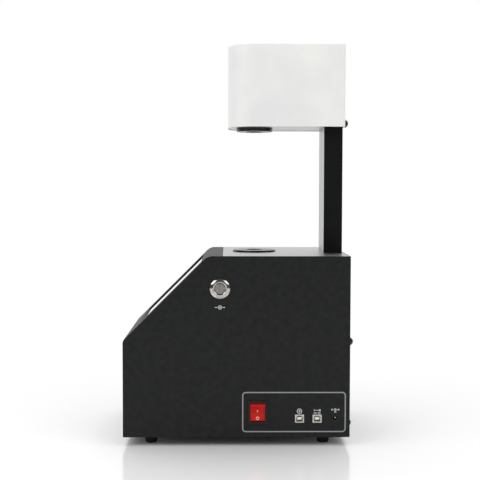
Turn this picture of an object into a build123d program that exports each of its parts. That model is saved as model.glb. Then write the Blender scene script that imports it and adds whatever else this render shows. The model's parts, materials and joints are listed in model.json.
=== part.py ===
from build123d import *
import os
from math import cos, pi, radians, sin, tan

# Benchtop turbidity meter: a lamp head on a column over a sample port in the top of a folded steel base.
# X points right seen from the front, Y to the back and Z up. The origin is on the bench, in the middle of the
# base's footprint. The connectors, the push button and the power switch are in the right side wall.

# Base housing
foot_height = 12.0
slope_run = 112.5
slope_deg = 45.0
side_room = 8.0
low_bend_r = 9.0
top_bend_r = 16.0
wall = 1.5
seam_r = 1.0
rear_plate = 2.0
floor_plate = 2.0
top_plate_t = 3.0
painted_strip = 20.0
ledge_w = 10.0
side_flange = 16.0
top_rail_h = 20.0
floor_flange = 14.0
floor_upstand = 24.0
floor_screw_front = 60.0
floor_screw_back = 62.0
floor_screw_x = 36.0
top_screw_back = 40.0
screw_spare = 2.0
blind_floor = 1.0
blind_reach = 1.8

# General clearances
slip = 0.2
screw_fit = 0.1
run_fit = 0.05
moving_gap = 0.3
socket_gap = 0.3

# Rear screws with washers, and the small screws
rear_screw_head_r = 5.2
rear_screw_head_h = 3.6
rear_screw_r = 2.5
rear_screw_len = 7.0
washer_r = 5.7
washer_t = 1.2
rear_mid_up = 127.0
rear_mid_inboard = 10.0
rear_low_up = 14.0
rear_low_inboard = 26.0
rear_top_inboard = 47.5
rear_top_drop = 13.5
pan_top_share = 0.62
pan_edge_share = 0.45
hex_socket_r = 1.5
hex_socket_depth = 1.8
m3_r = 1.5
m3_head_r = 2.8
m3_head_h = 1.8
m4_r = 2.0
m4_head_r = 3.8
m4_head_h = 2.2

# Feet
foot_r = 9.0
foot_taper = 1.2
foot_round = 1.0
foot_pocket_r = 4.6
foot_pocket_h = 6.0
foot_inboard = 25.0
foot_front_setback = 36.0
foot_back_inboard = 33.5
foot_nut_af = 7.0
foot_nut_h = 3.2
foot_screw_spare = 1.5

# Display in the slope
window_side_margin = 25.0
window_low_margin = 30.0
window_high_margin = 13.1
window_r = 3.0
glass_lap = 5.0
glass_t = 1.8
pad_t = 0.8
pad_w = 5.0
lcd_less_w = 1.0
lcd_less_h = 8.0
lcd_t = 6.0
lcd_bevel = 0.8
board_t = 1.6
display_post_out = 9.5
display_post_in = 12.0
display_post_edge_u = 5.0
display_post_edge_v = 6.0
post_r = 3.0
post_cap = 1.0
board_tap = 6.0
board_screw_grip = 5.0
display_screw_grip = 5.0

# Optical axis, sample port and sphere
port_front_margin = 44.5
throat = 95.8
lamp_gap = 167.1
port_ring_r = 30.5
port_ring_h = 2.6
port_ring_round = 0.8
port_neck_r = 25.0
port_neck_drop = 2.0
port_r = 10.5
port_bevel = 1.2
sphere_r = 70.0
sphere_wall = 4.0
sphere_port_r = 12.0
sphere_neck_wall = 6.0
sphere_neck_h = 3.0
flange_lip = 12.0
flange_corner_r = 12.0
flange_t = 4.0
pillar_edge = 5.0
pillar_y = 26.0
pillar_r = 4.0
pillar_tap = 10.0
sphere_screw_grip = 8.0
corner_screw_edge = 9.0
detector_drop = 30.0
detector_boss_out = 7.0
detector_boss_r = 16.0
detector_bore_r = 9.0
detector_cup_r = 17.0
detector_cup_len = 17.0
detector_cup_wall = 2.0
filter_t = 3.0
diode_r = 4.0
diode_h = 3.5
trap_flange_r = 24.0
trap_flange_t = 3.0
trap_r = 16.0
trap_wall = 1.5
trap_len = 52.5
trap_cone_h = 24.0

# Column and lamp head
column_w = 72.0
column_d = 25.6
column_wall = 3.0
column_back_gap = 3.6
column_foot_drop = 60.5
column_head_reach = 66.0
cover_t = 2.0
cover_groove_w = 1.2
cover_groove_d = 0.8
head_cheek = 19.5
head_front_reach = 37.5
head_room = 10.3
head_wall = 1.2
head_front_r = 37.0
head_back_r = 4.0
head_top_r = 1.2
head_plate_t = 2.5
head_plate_recess = 0.8
head_lip_w = 6.0
head_tab_w = 12.0
head_tab_h = 18.0
head_screw_up = 4.5
head_screw_inboard = 10.0
saddle_t = 2.5
saddle_ear = 14.0
saddle_reach = 48.0
saddle_wing = 50.0
saddle_screw_out = 9.0
saddle_screw_front = 40.0
saddle_screw_back = 9.0
wing_screw_low = 15.0
wing_screw_high = 38.0
lead_r = 2.5
lead_bend_r = 25.0

# Leads inside the base
lead_thin_r = 1.5
lead_turn = 8.0
lead_rise = 20.0
detector_lead_drop = 12.0
button_lead_reach = 16.0
button_lead_clear = 6.0
button_lead_over = 14.0
side_plug_x = 52.0
front_plug_x = 20.0
front_plug_in = 7.0
ribbon_w = 28.0
ribbon_t = 0.5
ribbon_down = 34.0
ribbon_out = 16.0
plug_spare = 4.0

# Light source under and in the head
lens_ring_r = 25.5
lens_ring_drop = 4.4
lens_ring_round = 0.6
lens_ring_groove = 1.0
lens_ring_aperture = 12.5
lens_neck_r = 21.0
lens_neck_h = 6.5
tube_wall = 3.0
tube_len = 68.0
tube_flange_r = 28.5
tube_flange_t = 4.0
lens_edge_t = 3.0
lens_bulge = 4.0
retainer_t = 3.0
retainer_w = 1.2
retainer_bevel = 0.5
led_tongue_w = 14.0
led_tongue_reach = 36.0
led_dome_r = 3.0
plug_w = 10.0
plug_len = 8.0
plug_h = 7.0
sink_size = 46.0
sink_base_t = 6.0
sink_fin_h = 22.0
sink_fin_t = 2.0
sink_fins = 8

# Push button in the right side wall
button_setback = 129.0
button_drop = 43.0
button_hole_r = 11.1
gasket_t = 0.6
gasket_r = 12.6
bezel_r = 13.3
bezel_edge = 0.8
bezel_h = 2.6
bezel_land_r = 9.4
bezel_mouth_r = 8.5
barrel_r = 11.0
barrel_len = 26.0
cap_r = 7.15
cap_sink = 0.2
cap_t = 3.0
cap_bevel = 0.4
cap_travel = 2.0
stem_r = 3.0
spring_pocket_r = 6.2
spring_len = 12.0
web_t = 4.0
collar_r = 4.5
collar_t = 1.2
button_nut_af = 27.0
button_nut_t = 3.0
spring_r = 4.6
spring_wire_r = 0.4
spring_turns = 5
contact_r = 8.4
contact_len = 10.0
contact_inset = 4.0
blade_t = 0.8
contact_blade_len = 6.0
contact_blade_w = 2.8

# Power switch in the right side wall
switch_from_back = 122.9
switch_up = 33.5
switch_bezel_w = 26.0
switch_bezel_h = 31.0
switch_rim_t = 2.0
switch_rim_bevel = 0.8
switch_corner_r = 1.2
switch_mouth_w = 19.8
switch_mouth_h = 25.2
switch_body_wall = 1.1
switch_body_len = 18.0
switch_cavity = 12.5
rocker_pivot_depth = 3.4
rocker_face_offset = 5.0
rocker_back_offset = 4.0
rocker_groove_w = 0.6
rocker_groove_d = 0.4
rocker_groove_in = 1.2
rocker_travel = 22.0
rocker_pin_r = 1.5
rocker_pin_len = 0.9
switch_blade_w = 6.3
switch_blade_len = 8.0

# Connectors in the right side wall
deck_up = 19.6
deck_front_margin = 12.0
deck_back_margin = 10.4
deck_width = 42.0
deck_post_edge = 6.0
socket_proud = 0.3
usb_from_back = 67.0
usb_pitch = 23.5
usb_w = 12.0
usb_h = 10.9
usb_len = 16.0
usb_mouth_w = 8.6
usb_mouth_h = 7.9
usb_mouth_bevel = 1.7
usb_mouth_depth = 9.5
usb_tongue_w = 5.6
usb_tongue_h = 3.2
usb_tongue_len = 8.2
dc_from_back = 19.4
dc_w = 9.4
dc_h = 11.6
dc_len = 14.0
dc_hole_up = 6.7
dc_hole_r = 3.1
dc_hole_depth = 9.0
dc_pin_r = 1.0
dc_pin_len = 8.0

# Main board
main_deck_gap = 4.8
main_board_reach = 49.0
main_board_back_gap = 8.0
main_board_up = 8.0
main_board_room = 18.4
main_post_edge = 6.0
main_post_back_edge = 18.0
# Chips on the main board: x, distance behind the board's front edge, side and height
chips = (
    (0.0, 46.0, 28.0, 2.0), (-38.0, 24.0, 14.0, 1.6), (-38.0, 52.0, 14.0, 1.6), (-38.0, 80.0, 14.0, 1.6),
    (36.0, 84.0, 14.0, 8.0), (36.0, 108.0, 14.0, 8.0), (-38.0, 112.0, 18.0, 9.0),
)
capacitors = 3
capacitor_x = 36.0
capacitor_setback = 20.0
capacitor_pitch = 16.0
capacitor_r = 5.0
capacitor_h = 11.0

# Worked out from the sizes above. The base is as wide as the sphere with its detector, as high as the stack
# of board, light trap and sphere, and as deep as the slope and the top plate with port and column.
flange_size = 2 * (sphere_r + flange_lip)
pillar_x = flange_size / 2 - pillar_edge
corner_screw = flange_size / 2 - corner_screw_edge
detector_x = sphere_r + sphere_wall + detector_boss_out
base_width = 2 * (detector_x + detector_cup_len + side_room + wall)
base_depth = slope_run + painted_strip + port_front_margin + throat + column_d + column_back_gap
half_w = base_width / 2
inner_w = half_w - wall
main_board_w = 2 * (inner_w - slip - deck_width - main_deck_gap)
front_y = -base_depth / 2
back_y = base_depth / 2
shell_back_y = back_y - rear_plate
floor_z = foot_height + floor_plate
main_board_z = floor_z + main_board_up
trap_bottom_z = main_board_z + board_t + main_board_room
trap_top_z = trap_bottom_z + trap_len
sphere_z = trap_top_z + sphere_neck_h + sphere_wall + sphere_r
plate_z = sphere_z + sphere_r + sphere_wall + sphere_neck_h + port_neck_drop
base_top = plate_z + top_plate_t
ledge_z = plate_z - wall
slope_angle = radians(slope_deg)
slope_rise = slope_run * tan(slope_angle)
slope_foot_z = base_top - slope_rise
slope_len = slope_run / cos(slope_angle)
low_turn = pi / 2 - slope_angle
plate_front_y = front_y + slope_run + painted_strip
optical_y = plate_front_y + port_front_margin
column_y = optical_y + throat
column_back_y = column_y + column_d
head_z = base_top + port_ring_h + lamp_gap + lens_ring_drop
head_plate_z = head_z + head_plate_recess
head_floor_z = head_plate_z + head_plate_t
head_w = column_w + 2 * head_cheek
head_h = (head_plate_recess + head_plate_t + tube_len + board_t + sink_base_t + sink_fin_h + head_room
          + head_wall)
head_back_y = column_back_y + slip + head_wall
head_front_y = optical_y - head_front_reach
saddle_half_w = column_w / 2 + saddle_ear
window_w = base_width - 2 * window_side_margin
window_h = slope_len - window_low_margin - window_high_margin
lcd_w = window_w - lcd_less_w
lcd_h = window_h - lcd_less_h
display_post_u = window_w / 2 + display_post_out
display_post_v = window_h / 2 - display_post_in
button_y = front_y + button_setback
button_z = base_top - button_drop
switch_y = back_y - switch_from_back
switch_z = foot_height + switch_up
deck_z = foot_height + deck_up


def block(x, y, z):
    """Box from three (low, high) pairs."""
    size = [high - low for low, high in (x, y, z)]
    middle = [(high + low) / 2 for low, high in (x, y, z)]
    return Pos(*middle) * Box(*size)


def post(x, y, z, r):
    """Upright round bar at x, y over the pair z = (low, high)."""
    return Pos(x, y, z[0]) * Cylinder(r, z[1] - z[0], align=(Align.CENTER, Align.CENTER, Align.MIN))


def bar(x, y, z, r):
    """Round bar along X over the pair x = (low, high)."""
    lying = Cylinder(r, x[1] - x[0], rotation=(0, 90, 0))
    return Pos((x[0] + x[1]) / 2, y, z) * lying


def turned(*profile):
    """Solid turned about Z from a closed (radius, height) profile."""
    return revolve(Plane.XZ * make_face(Polyline(*profile, close=True)), Axis.Z)


def turned_along_x(*profile):
    """Solid turned about X from a closed (x, radius) profile."""
    return revolve(make_face(Polyline(*profile, close=True)), Axis.X)


def ring(outer_r, inner_r, thickness):
    """Flat ring on the XY plane."""
    return extrude(Circle(outer_r) - Circle(inner_r), thickness)


def nut(across_flats, hole_r, thickness):
    """Hexagon nut on the XY plane."""
    blank = RegularPolygon(across_flats / 2, 6, major_radius=False)
    return extrude(blank - Circle(hole_r), thickness)


def pan_screw(head_r, head_h, shank_r, length):
    """Screw with its head under the XY plane and its shank along +Z."""
    head = turned((0, -head_h), (head_r * pan_top_share, -head_h), (head_r, -head_h * pan_edge_share),
                  (head_r, 0), (0, 0))
    return head + post(0, 0, (0, length), shank_r)


def countersunk_screw(head_r, shank_r, length):
    """Screw with its flat head flush with the XY plane and its shank along +Z."""
    cone = turned((0, 0), (head_r, 0), (shank_r, head_r - shank_r), (0, head_r - shank_r))
    return cone + post(0, 0, (0, length), shank_r)


def on(x, y, z, direction, shape):
    """Shape placed at a point with its own +Z turned to direction."""
    return Plane(origin=(x, y, z), z_dir=direction) * shape


def group(shapes):
    """Separate solids kept as one sub-part."""
    return Compound(children=list(shapes))


def both_sides(x):
    """The pair -x, x."""
    return (-x, x)


# Base housing

def base_outline(inset, bottom, back):
    """Side outline of the base, moved inwards by inset, on the YZ plane."""
    foot = (front_y + inset, slope_foot_z - inset * tan(low_turn / 2))
    brow = (front_y + slope_run + inset * tan(slope_angle / 2), base_top - inset)
    outline = FilletPolyline(
        (front_y + inset, bottom), foot, brow, (back, base_top - inset), (back, bottom),
        radius=[0, low_bend_r - inset, top_bend_r - inset, 0, 0], close=True)
    return Plane.YZ * make_face(outline)


def slope_plane(depth=0.0):
    """Plane on the sloped front, centred on the display window, depth under the paint."""
    along = Vector(0, cos(slope_angle), sin(slope_angle))
    outwards = Vector(0, -sin(slope_angle), cos(slope_angle))
    middle = Vector(0, front_y, slope_foot_z) + along * (window_low_margin + window_h / 2) - outwards * depth
    return Plane(origin=middle, x_dir=(1, 0, 0), z_dir=outwards)


def rear_screw_places():
    """(x, z) of the screws in the rear panel."""
    rows = (
        (half_w - rear_low_inboard, foot_height + rear_low_up),
        (half_w - rear_mid_inboard, foot_height + rear_mid_up),
        (half_w - rear_top_inboard, base_top - rear_top_drop),
    )
    return [(side, z) for x, z in rows for side in both_sides(x)]


def foot_places():
    """(x, y) of the four feet."""
    ys = (front_y + foot_front_setback, back_y - foot_back_inboard)
    return [(x, y) for y in ys for x in both_sides(half_w - foot_inboard)]


def floor_screw_places():
    """(x, y) of the screws that hold the bottom plate to the housing's flange."""
    x = inner_w - floor_flange / 2
    ys = (front_y + floor_screw_front, shell_back_y - floor_screw_back)
    front = [(side, front_y + wall + floor_flange / 2) for side in both_sides(floor_screw_x)]
    return front + [(side, y) for y in ys for side in both_sides(x)]


def top_screw_places():
    """(x, y) of the screws that hold the top plate from below."""
    x = inner_w - ledge_w / 2
    ys = (plate_front_y + ledge_w / 2, shell_back_y - top_screw_back)
    return [(side, y) for y in ys for side in both_sides(x)]


def usb_places():
    """Y of the two square sockets."""
    return [back_y - usb_from_back + i * usb_pitch for i in range(2)]


def side_wall_cutouts():
    """Everything that is cut through the right side wall."""
    through = (inner_w - wall, half_w + wall)
    body_w = switch_mouth_w + 2 * switch_body_wall + 2 * socket_gap
    body_h = switch_mouth_h + 2 * switch_body_wall + 2 * socket_gap
    cuts = bar(through, button_y, button_z, button_hole_r)
    cuts += block(through, (switch_y - body_w / 2, switch_y + body_w / 2),
                  (switch_z - body_h / 2, switch_z + body_h / 2))
    for y in usb_places():
        cuts += block(through, (y - usb_w / 2 - socket_gap, y + usb_w / 2 + socket_gap),
                      (deck_z - socket_gap, deck_z + usb_h + socket_gap))
    y = back_y - dc_from_back
    cuts += block(through, (y - dc_w / 2 - socket_gap, y + dc_w / 2 + socket_gap),
                  (deck_z - socket_gap, deck_z + dc_h + socket_gap))
    return cuts


def main_housing():
    """Folded steel sheet with welded seams: sides, front, slope, top strip and inner flanges."""
    shell = extrude(base_outline(0, foot_height, shell_back_y), half_w, both=True)
    seams = shell.edges().filter_by_position(Axis.Z, foot_height + wall, base_top).filter_by(
        lambda e: abs(abs(e.center().X) - half_w) < seam_r and e.center().Y < shell_back_y - seam_r)
    shell = fillet(seams, seam_r)
    shell -= extrude(base_outline(wall, foot_height - wall, shell_back_y + wall), inner_w, both=True)
    behind = (plate_front_y, shell_back_y + wall)
    shell -= block((-inner_w, inner_w), behind, (plate_z, base_top + wall))

    # Ledge and joggle that carry the top plate
    ledge = block((-inner_w, inner_w), (plate_front_y - wall, shell_back_y), (ledge_z, plate_z))
    ledge -= block((ledge_w - inner_w, inner_w - ledge_w), (plate_front_y + ledge_w, shell_back_y - wall),
                   (ledge_z, plate_z))
    joggle = block((-inner_w, inner_w), (plate_front_y - wall, plate_front_y), (ledge_z, base_top - wall))

    # Frame round the open back, and the flange above the bottom plate
    back = (shell_back_y - wall, shell_back_y)
    frame = block((-inner_w, inner_w), back, (floor_z, ledge_z))
    frame -= block((side_flange - inner_w, inner_w - side_flange), back, (floor_z, ledge_z - top_rail_h))
    floor = block((-inner_w, inner_w), (front_y + wall, shell_back_y), (floor_z, floor_z + wall))
    floor -= block((floor_flange - inner_w, inner_w - floor_flange),
                   (front_y + wall + floor_flange, shell_back_y), (floor_z, floor_z + wall))
    shell += [ledge, joggle, frame, floor]

    # Window, side wall cut-outs and screw holes
    window = slope_plane() * RectangleRounded(window_w, window_h, window_r)
    shell -= extrude(window, 2 * wall, both=True)
    shell -= side_wall_cutouts()
    for x, z in rear_screw_places():
        shell -= on(x, shell_back_y - wall, z, (0, 1, 0), post(0, 0, (0, wall), rear_screw_r + screw_fit))
    for x, y in floor_screw_places():
        shell -= post(x, y, (floor_z, floor_z + wall), m3_r + screw_fit)
    for x, y in top_screw_places():
        shell -= post(x, y, (ledge_z, plate_z), m3_r + screw_fit)
    return shell


def top_plate():
    """Satin plate that closes the top behind the painted strip."""
    plate = block((slip - inner_w, inner_w - slip), (plate_front_y + slip, shell_back_y), (plate_z, base_top))
    plate -= post(0, optical_y, (plate_z, base_top), port_neck_r + slip)
    half_c = column_w / 2 + slip
    plate -= block((-half_c, half_c), (column_y - slip, column_back_y + slip), (plate_z, base_top))
    tapped = (plate_z, base_top - blind_floor)
    for x, y in top_screw_places():
        plate -= post(x, y, tapped, m3_r + screw_fit)
    for x, y in saddle_screw_places():
        plate -= post(x, y, tapped, m4_r + screw_fit)
    for x in both_sides(pillar_x):
        for y in (optical_y - pillar_y, optical_y + pillar_y):
            plate -= post(x, y, tapped, m4_r + screw_fit)
    return plate


def rear_panel():
    """Flat plate over the open back."""
    panel = block((-half_w, half_w), (shell_back_y, back_y), (foot_height, base_top))
    panel = chamfer(panel.edges().group_by(Axis.Y)[-1], seam_r / 2)
    for x, z in rear_screw_places():
        panel -= on(x, shell_back_y, z, (0, 1, 0), post(0, 0, (0, rear_plate), rear_screw_r + screw_fit))
    return panel


def bottom_plate():
    """Floor of the base, with an upstand that the rear panel is screwed to."""
    plate = block((slip - inner_w, inner_w - slip), (front_y + wall + slip, shell_back_y),
                  (foot_height, floor_z))
    reach = inner_w - side_flange - slip
    plate += block(both_sides(reach), (shell_back_y - floor_plate, shell_back_y),
                   (floor_z, floor_z + floor_upstand))
    for x, z in rear_screw_places():
        if z < floor_z + floor_upstand:
            plate -= on(x, shell_back_y - floor_plate, z, (0, 1, 0),
                        post(0, 0, (0, floor_plate), rear_screw_r + screw_fit))
    for x, y in foot_places():
        plate -= post(x, y, (foot_height, floor_z), m4_r + screw_fit)
    for x, y in floor_screw_places():
        plate -= post(x, y, (foot_height, floor_z), m3_r + screw_fit)
    return plate


def rear_screw():
    """Black domed screw with its head above the XY plane's underside, shank along +Z."""
    dome_r = (rear_screw_head_r ** 2 + rear_screw_head_h ** 2) / (2 * rear_screw_head_h)
    cap = Pos(0, 0, dome_r - rear_screw_head_h) * Sphere(dome_r)
    cap &= post(0, 0, (-rear_screw_head_h, 0), rear_screw_head_r)
    cap -= Pos(0, 0, -rear_screw_head_h) * extrude(RegularPolygon(hex_socket_r, 6), hex_socket_depth)
    return cap + post(0, 0, (0, rear_screw_len), rear_screw_r)


def rear_fastener_places():
    """(x, y, z) of every rear screw's washer seat, on the base and on the head."""
    base = [(x, back_y, z) for x, z in rear_screw_places()]
    head_x = head_w / 2 - head_screw_inboard
    return base + [(x, head_back_y, head_z + head_screw_up) for x in both_sides(head_x)]


def rear_screws():
    """Domed screws of the rear panel and of the head."""
    return group(on(x, y + washer_t, z, (0, -1, 0), rear_screw()) for x, y, z in rear_fastener_places())


def rear_washers():
    """Washers under the domed screws."""
    washer = ring(washer_r, rear_screw_r + screw_fit, washer_t)
    return group(on(x, y, z, (0, 1, 0), washer) for x, y, z in rear_fastener_places())


def small_screws(places, z, length, shank_r=m3_r, head_r=m3_head_r, head_h=m3_head_h):
    """Screws that point up, with their heads under the face at z."""
    return group(Pos(x, y, z) * pan_screw(head_r, head_h, shank_r, length) for x, y in places)


def top_plate_screws():
    """Screws up through the ledge into the top plate."""
    return small_screws(top_screw_places(), ledge_z, wall + blind_reach)


def bottom_plate_screws():
    """Screws up through the bottom plate into the housing's flange."""
    return small_screws(floor_screw_places(), foot_height, floor_plate + wall + screw_spare)


def rubber_feet():
    """Four tapered rubber feet, each with a pocket for its screw head."""
    low_r = foot_r - foot_taper
    foot = turned(
        (0, foot_height), (foot_r, foot_height), (low_r, foot_round), (low_r - foot_round, 0), (0, 0))
    foot -= post(0, 0, (0, foot_pocket_h), foot_pocket_r)
    foot -= post(0, 0, (0, foot_height), m4_r + screw_fit)
    return group(Pos(x, y, 0) * foot for x, y in foot_places())


def foot_screws():
    """Screws up through the feet."""
    length = foot_height - foot_pocket_h + floor_plate + foot_nut_h + foot_screw_spare
    return small_screws(foot_places(), foot_pocket_h, length, m4_r, m4_head_r, m4_head_h)


def foot_nuts():
    """Nuts of the foot screws, on the bottom plate."""
    one = nut(foot_nut_af, m4_r + screw_fit, foot_nut_h)
    return group(Pos(x, y, floor_z) * one for x, y in foot_places())


# Display

def layer(width, height, top, thickness):
    """Flat layer behind the slope, its outer face top under the paint."""
    return extrude(slope_plane(top) * Rectangle(width, height), -thickness)


def display_depths():
    """Depth of each display layer's outer face under the paint."""
    glass = wall
    pad = glass + glass_t
    lcd = pad + pad_t
    return glass, pad, lcd, lcd + lcd_t


def display_post_places():
    """(u, v) of the display board's posts on the slope."""
    return [(u, v) for v in both_sides(display_post_v) for u in both_sides(display_post_u)]


def display_glass():
    """Cover glass behind the window."""
    return layer(window_w + 2 * glass_lap, window_h + 2 * glass_lap, display_depths()[0], glass_t)


def display_gasket():
    """Foam frame between the glass and the LCD."""
    depth = display_depths()[1]
    return layer(lcd_w, lcd_h, depth, pad_t) - layer(lcd_w - 2 * pad_w, lcd_h - 2 * pad_w, depth, pad_t)


def lcd_module():
    """LCD in its metal frame."""
    module = layer(lcd_w, lcd_h, display_depths()[2], lcd_t)
    outwards = Axis((0, 0, 0), slope_plane().z_dir)
    return chamfer(module.faces().sort_by(outwards)[-1].edges(), lcd_bevel)


def display_board():
    """Driver board behind the LCD, wide enough to reach its posts."""
    depth = display_depths()[3]
    width = 2 * (display_post_u + display_post_edge_u)
    height = 2 * (display_post_v + display_post_edge_v)
    board = layer(width, height, depth, board_t)
    for u, v in display_post_places():
        board -= slope_plane(depth + board_t) * Pos(u, v, 0) * post(0, 0, (0, board_t), m3_r + screw_fit)
    return board


def display_posts():
    """Welded posts on the back of the slope."""
    length = display_depths()[3] - wall
    one = post(0, 0, (0, length), post_r) - post(0, 0, (0, length - post_cap), m3_r + screw_fit)
    plane = slope_plane(display_depths()[3])
    return group(plane * Pos(u, v, 0) * one for u, v in display_post_places())


def display_screws():
    """Screws through the display board into its posts."""
    plane = slope_plane(display_depths()[3] + board_t)
    screw = pan_screw(m3_head_r, m3_head_h, m3_r, board_t + display_screw_grip)
    return group(plane * Pos(u, v, 0) * screw for u, v in display_post_places())


# Sample port, sphere and detector

def port_ring():
    """Black ring in the top plate that the sample lies on."""
    top = base_top + port_ring_h
    bottom = plate_z - port_neck_drop
    body = turned(
        (port_r + port_bevel, top), (port_ring_r - port_ring_round, top),
        (port_ring_r, top - port_ring_round), (port_ring_r, base_top), (port_neck_r, base_top),
        (port_neck_r, bottom), (port_r, bottom), (port_r, top - port_bevel))
    return Pos(0, optical_y, 0) * body


def sphere_flange():
    """Outline of the square flange at the sphere's equator, on the XY plane."""
    return RectangleRounded(flange_size, flange_size, flange_corner_r) - Circle(sphere_r)


def sphere_screw_places():
    """(x, y) of the screws through the sphere's flange: four pillars, then four corners."""
    pillars = [(x, optical_y + y) for y in both_sides(pillar_y) for x in both_sides(pillar_x)]
    corners = [(x, optical_y + y) for y in both_sides(corner_screw) for x in both_sides(corner_screw)]
    return pillars, corners


def sphere_half(up):
    """Half of the integrating sphere with its port neck and flange: up is 1 or -1."""
    outer = sphere_r + sphere_wall
    z = (0, outer + sphere_neck_h) if up > 0 else (-outer - sphere_neck_h, 0)
    shell = Sphere(outer) + post(0, 0, (-outer - sphere_neck_h, outer + sphere_neck_h),
                                 sphere_port_r + sphere_neck_wall)
    shell -= Sphere(sphere_r)
    shell -= post(0, 0, (-outer - sphere_neck_h, outer + sphere_neck_h), sphere_port_r)
    half = shell & block((-outer, outer), (-outer, outer), z)
    half += extrude(sphere_flange(), up * flange_t)
    half = Pos(0, optical_y, sphere_z) * half
    pillars, corners = sphere_screw_places()
    for x, y in pillars + corners:
        half -= post(x, y, (sphere_z - flange_t, sphere_z + flange_t), m4_r + screw_fit)
    return half


def sphere_lower_half():
    """Lower half, with the boss that carries the detector on the left."""
    half = sphere_half(-1)
    z = sphere_z - detector_drop
    boss = bar((-detector_x, 0), optical_y, z, detector_boss_r)
    boss -= Pos(0, optical_y, sphere_z) * Sphere(sphere_r + sphere_wall / 2)
    half += boss
    return half - bar((-detector_x, 0), optical_y, z, detector_bore_r)


def sphere_screws():
    """Screws up through both flanges."""
    pillars, corners = sphere_screw_places()
    length = 2 * flange_t + sphere_screw_grip
    return small_screws(pillars + corners, sphere_z - flange_t, length, m4_r, m4_head_r, m4_head_h)


def sphere_pillars():
    """Pillars between the sphere's flange and the top plate."""
    z = (sphere_z + flange_t, plate_z)
    pillars = sphere_screw_places()[0]
    one = post(0, 0, z, pillar_r) + post(0, 0, (plate_z, plate_z + blind_reach), m4_r)
    one -= post(0, 0, (z[0], z[0] + pillar_tap), m4_r + screw_fit)
    return group(Pos(x, y, 0) * one for x, y in pillars)


def light_trap():
    """Black horn under the exit port: a cup with a cone in it."""
    top = trap_top_z
    inner = trap_r - trap_wall
    body = turned(
        (0, trap_bottom_z), (trap_r, trap_bottom_z), (trap_r, top - trap_flange_t),
        (trap_flange_r, top - trap_flange_t), (trap_flange_r, top), (inner, top),
        (inner, trap_bottom_z + trap_wall), (0, trap_bottom_z + trap_wall + trap_cone_h))
    return Pos(0, optical_y, 0) * body


def detector_housing():
    """Cup that screws on the sphere's boss and holds the detector."""
    z = sphere_z - detector_drop
    end = -detector_x - detector_cup_len
    cup = bar((end, -detector_x), optical_y, z, detector_cup_r)
    return cup - bar((end + detector_cup_wall, -detector_x), optical_y, z, detector_cup_r - detector_cup_wall)


def detector_filter():
    """Correction filter in front of the detector."""
    r = detector_cup_r - detector_cup_wall - slip
    return bar((-detector_x - filter_t, -detector_x), optical_y, sphere_z - detector_drop, r)


def detector_board():
    """Round board with the photodiode against the filter."""
    z = sphere_z - detector_drop
    r = detector_cup_r - detector_cup_wall - slip
    front = -detector_x - filter_t
    diode = bar((front - diode_h, front), optical_y, z, diode_r)
    return diode + bar((front - diode_h - board_t, front - diode_h), optical_y, z, r)


# Boards

def plug_places():
    """(x, y, width) of the plugs on the main board: lamp, detector, switch, button and display."""
    front = optical_y - main_board_reach
    return (
        (0, (column_y + column_back_y) / 2, plug_w),
        (-side_plug_x, optical_y, plug_w),
        (side_plug_x, switch_y, plug_w),
        (front_plug_x, front + front_plug_in, plug_w),
        (-front_plug_x, front + front_plug_in, ribbon_w + plug_spare),
    )


def main_board_places():
    """(x, y) of the main board's posts."""
    ys = (optical_y - main_board_reach + main_post_edge, back_y - main_board_back_gap - main_post_back_edge)
    return [(x, y) for y in ys for x in both_sides(main_board_w / 2 - main_post_edge)]


def main_board():
    """Measuring and control board on the floor."""
    z = (main_board_z, main_board_z + board_t)
    y = (optical_y - main_board_reach, back_y - main_board_back_gap)
    board = block(both_sides(main_board_w / 2), y, z)
    for x, y in main_board_places():
        board -= post(x, y, z, m3_r + screw_fit)
    return board


def board_components():
    """Chips, capacitors and plugs on the main board, with the lamp lead's plug at the back."""
    z = main_board_z + board_t
    front = optical_y - main_board_reach
    pieces = [Pos(x, y, z) * block(both_sides(width / 2), both_sides(plug_len / 2), (0, plug_h))
              for x, y, width in plug_places()]
    for x, setback, size, height in chips:
        y = front + setback
        pieces.append(block((x - size / 2, x + size / 2), (y - size / 2, y + size / 2), (z, z + height)))
    for i in range(capacitors):
        y = front + capacitor_setback + i * capacitor_pitch
        pieces.append(post(capacitor_x, y, (z, z + capacitor_h), capacitor_r))
    return group(pieces)


def lead(points, bend, r=lead_thin_r):
    """Round lead along straight runs with one bend radius."""
    along = Vector(*points[1]) - Vector(*points[0])
    path = FilletPolyline(*points, radius=bend)
    return sweep(Plane(origin=points[0], z_dir=along) * Circle(r), path=path)


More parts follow.
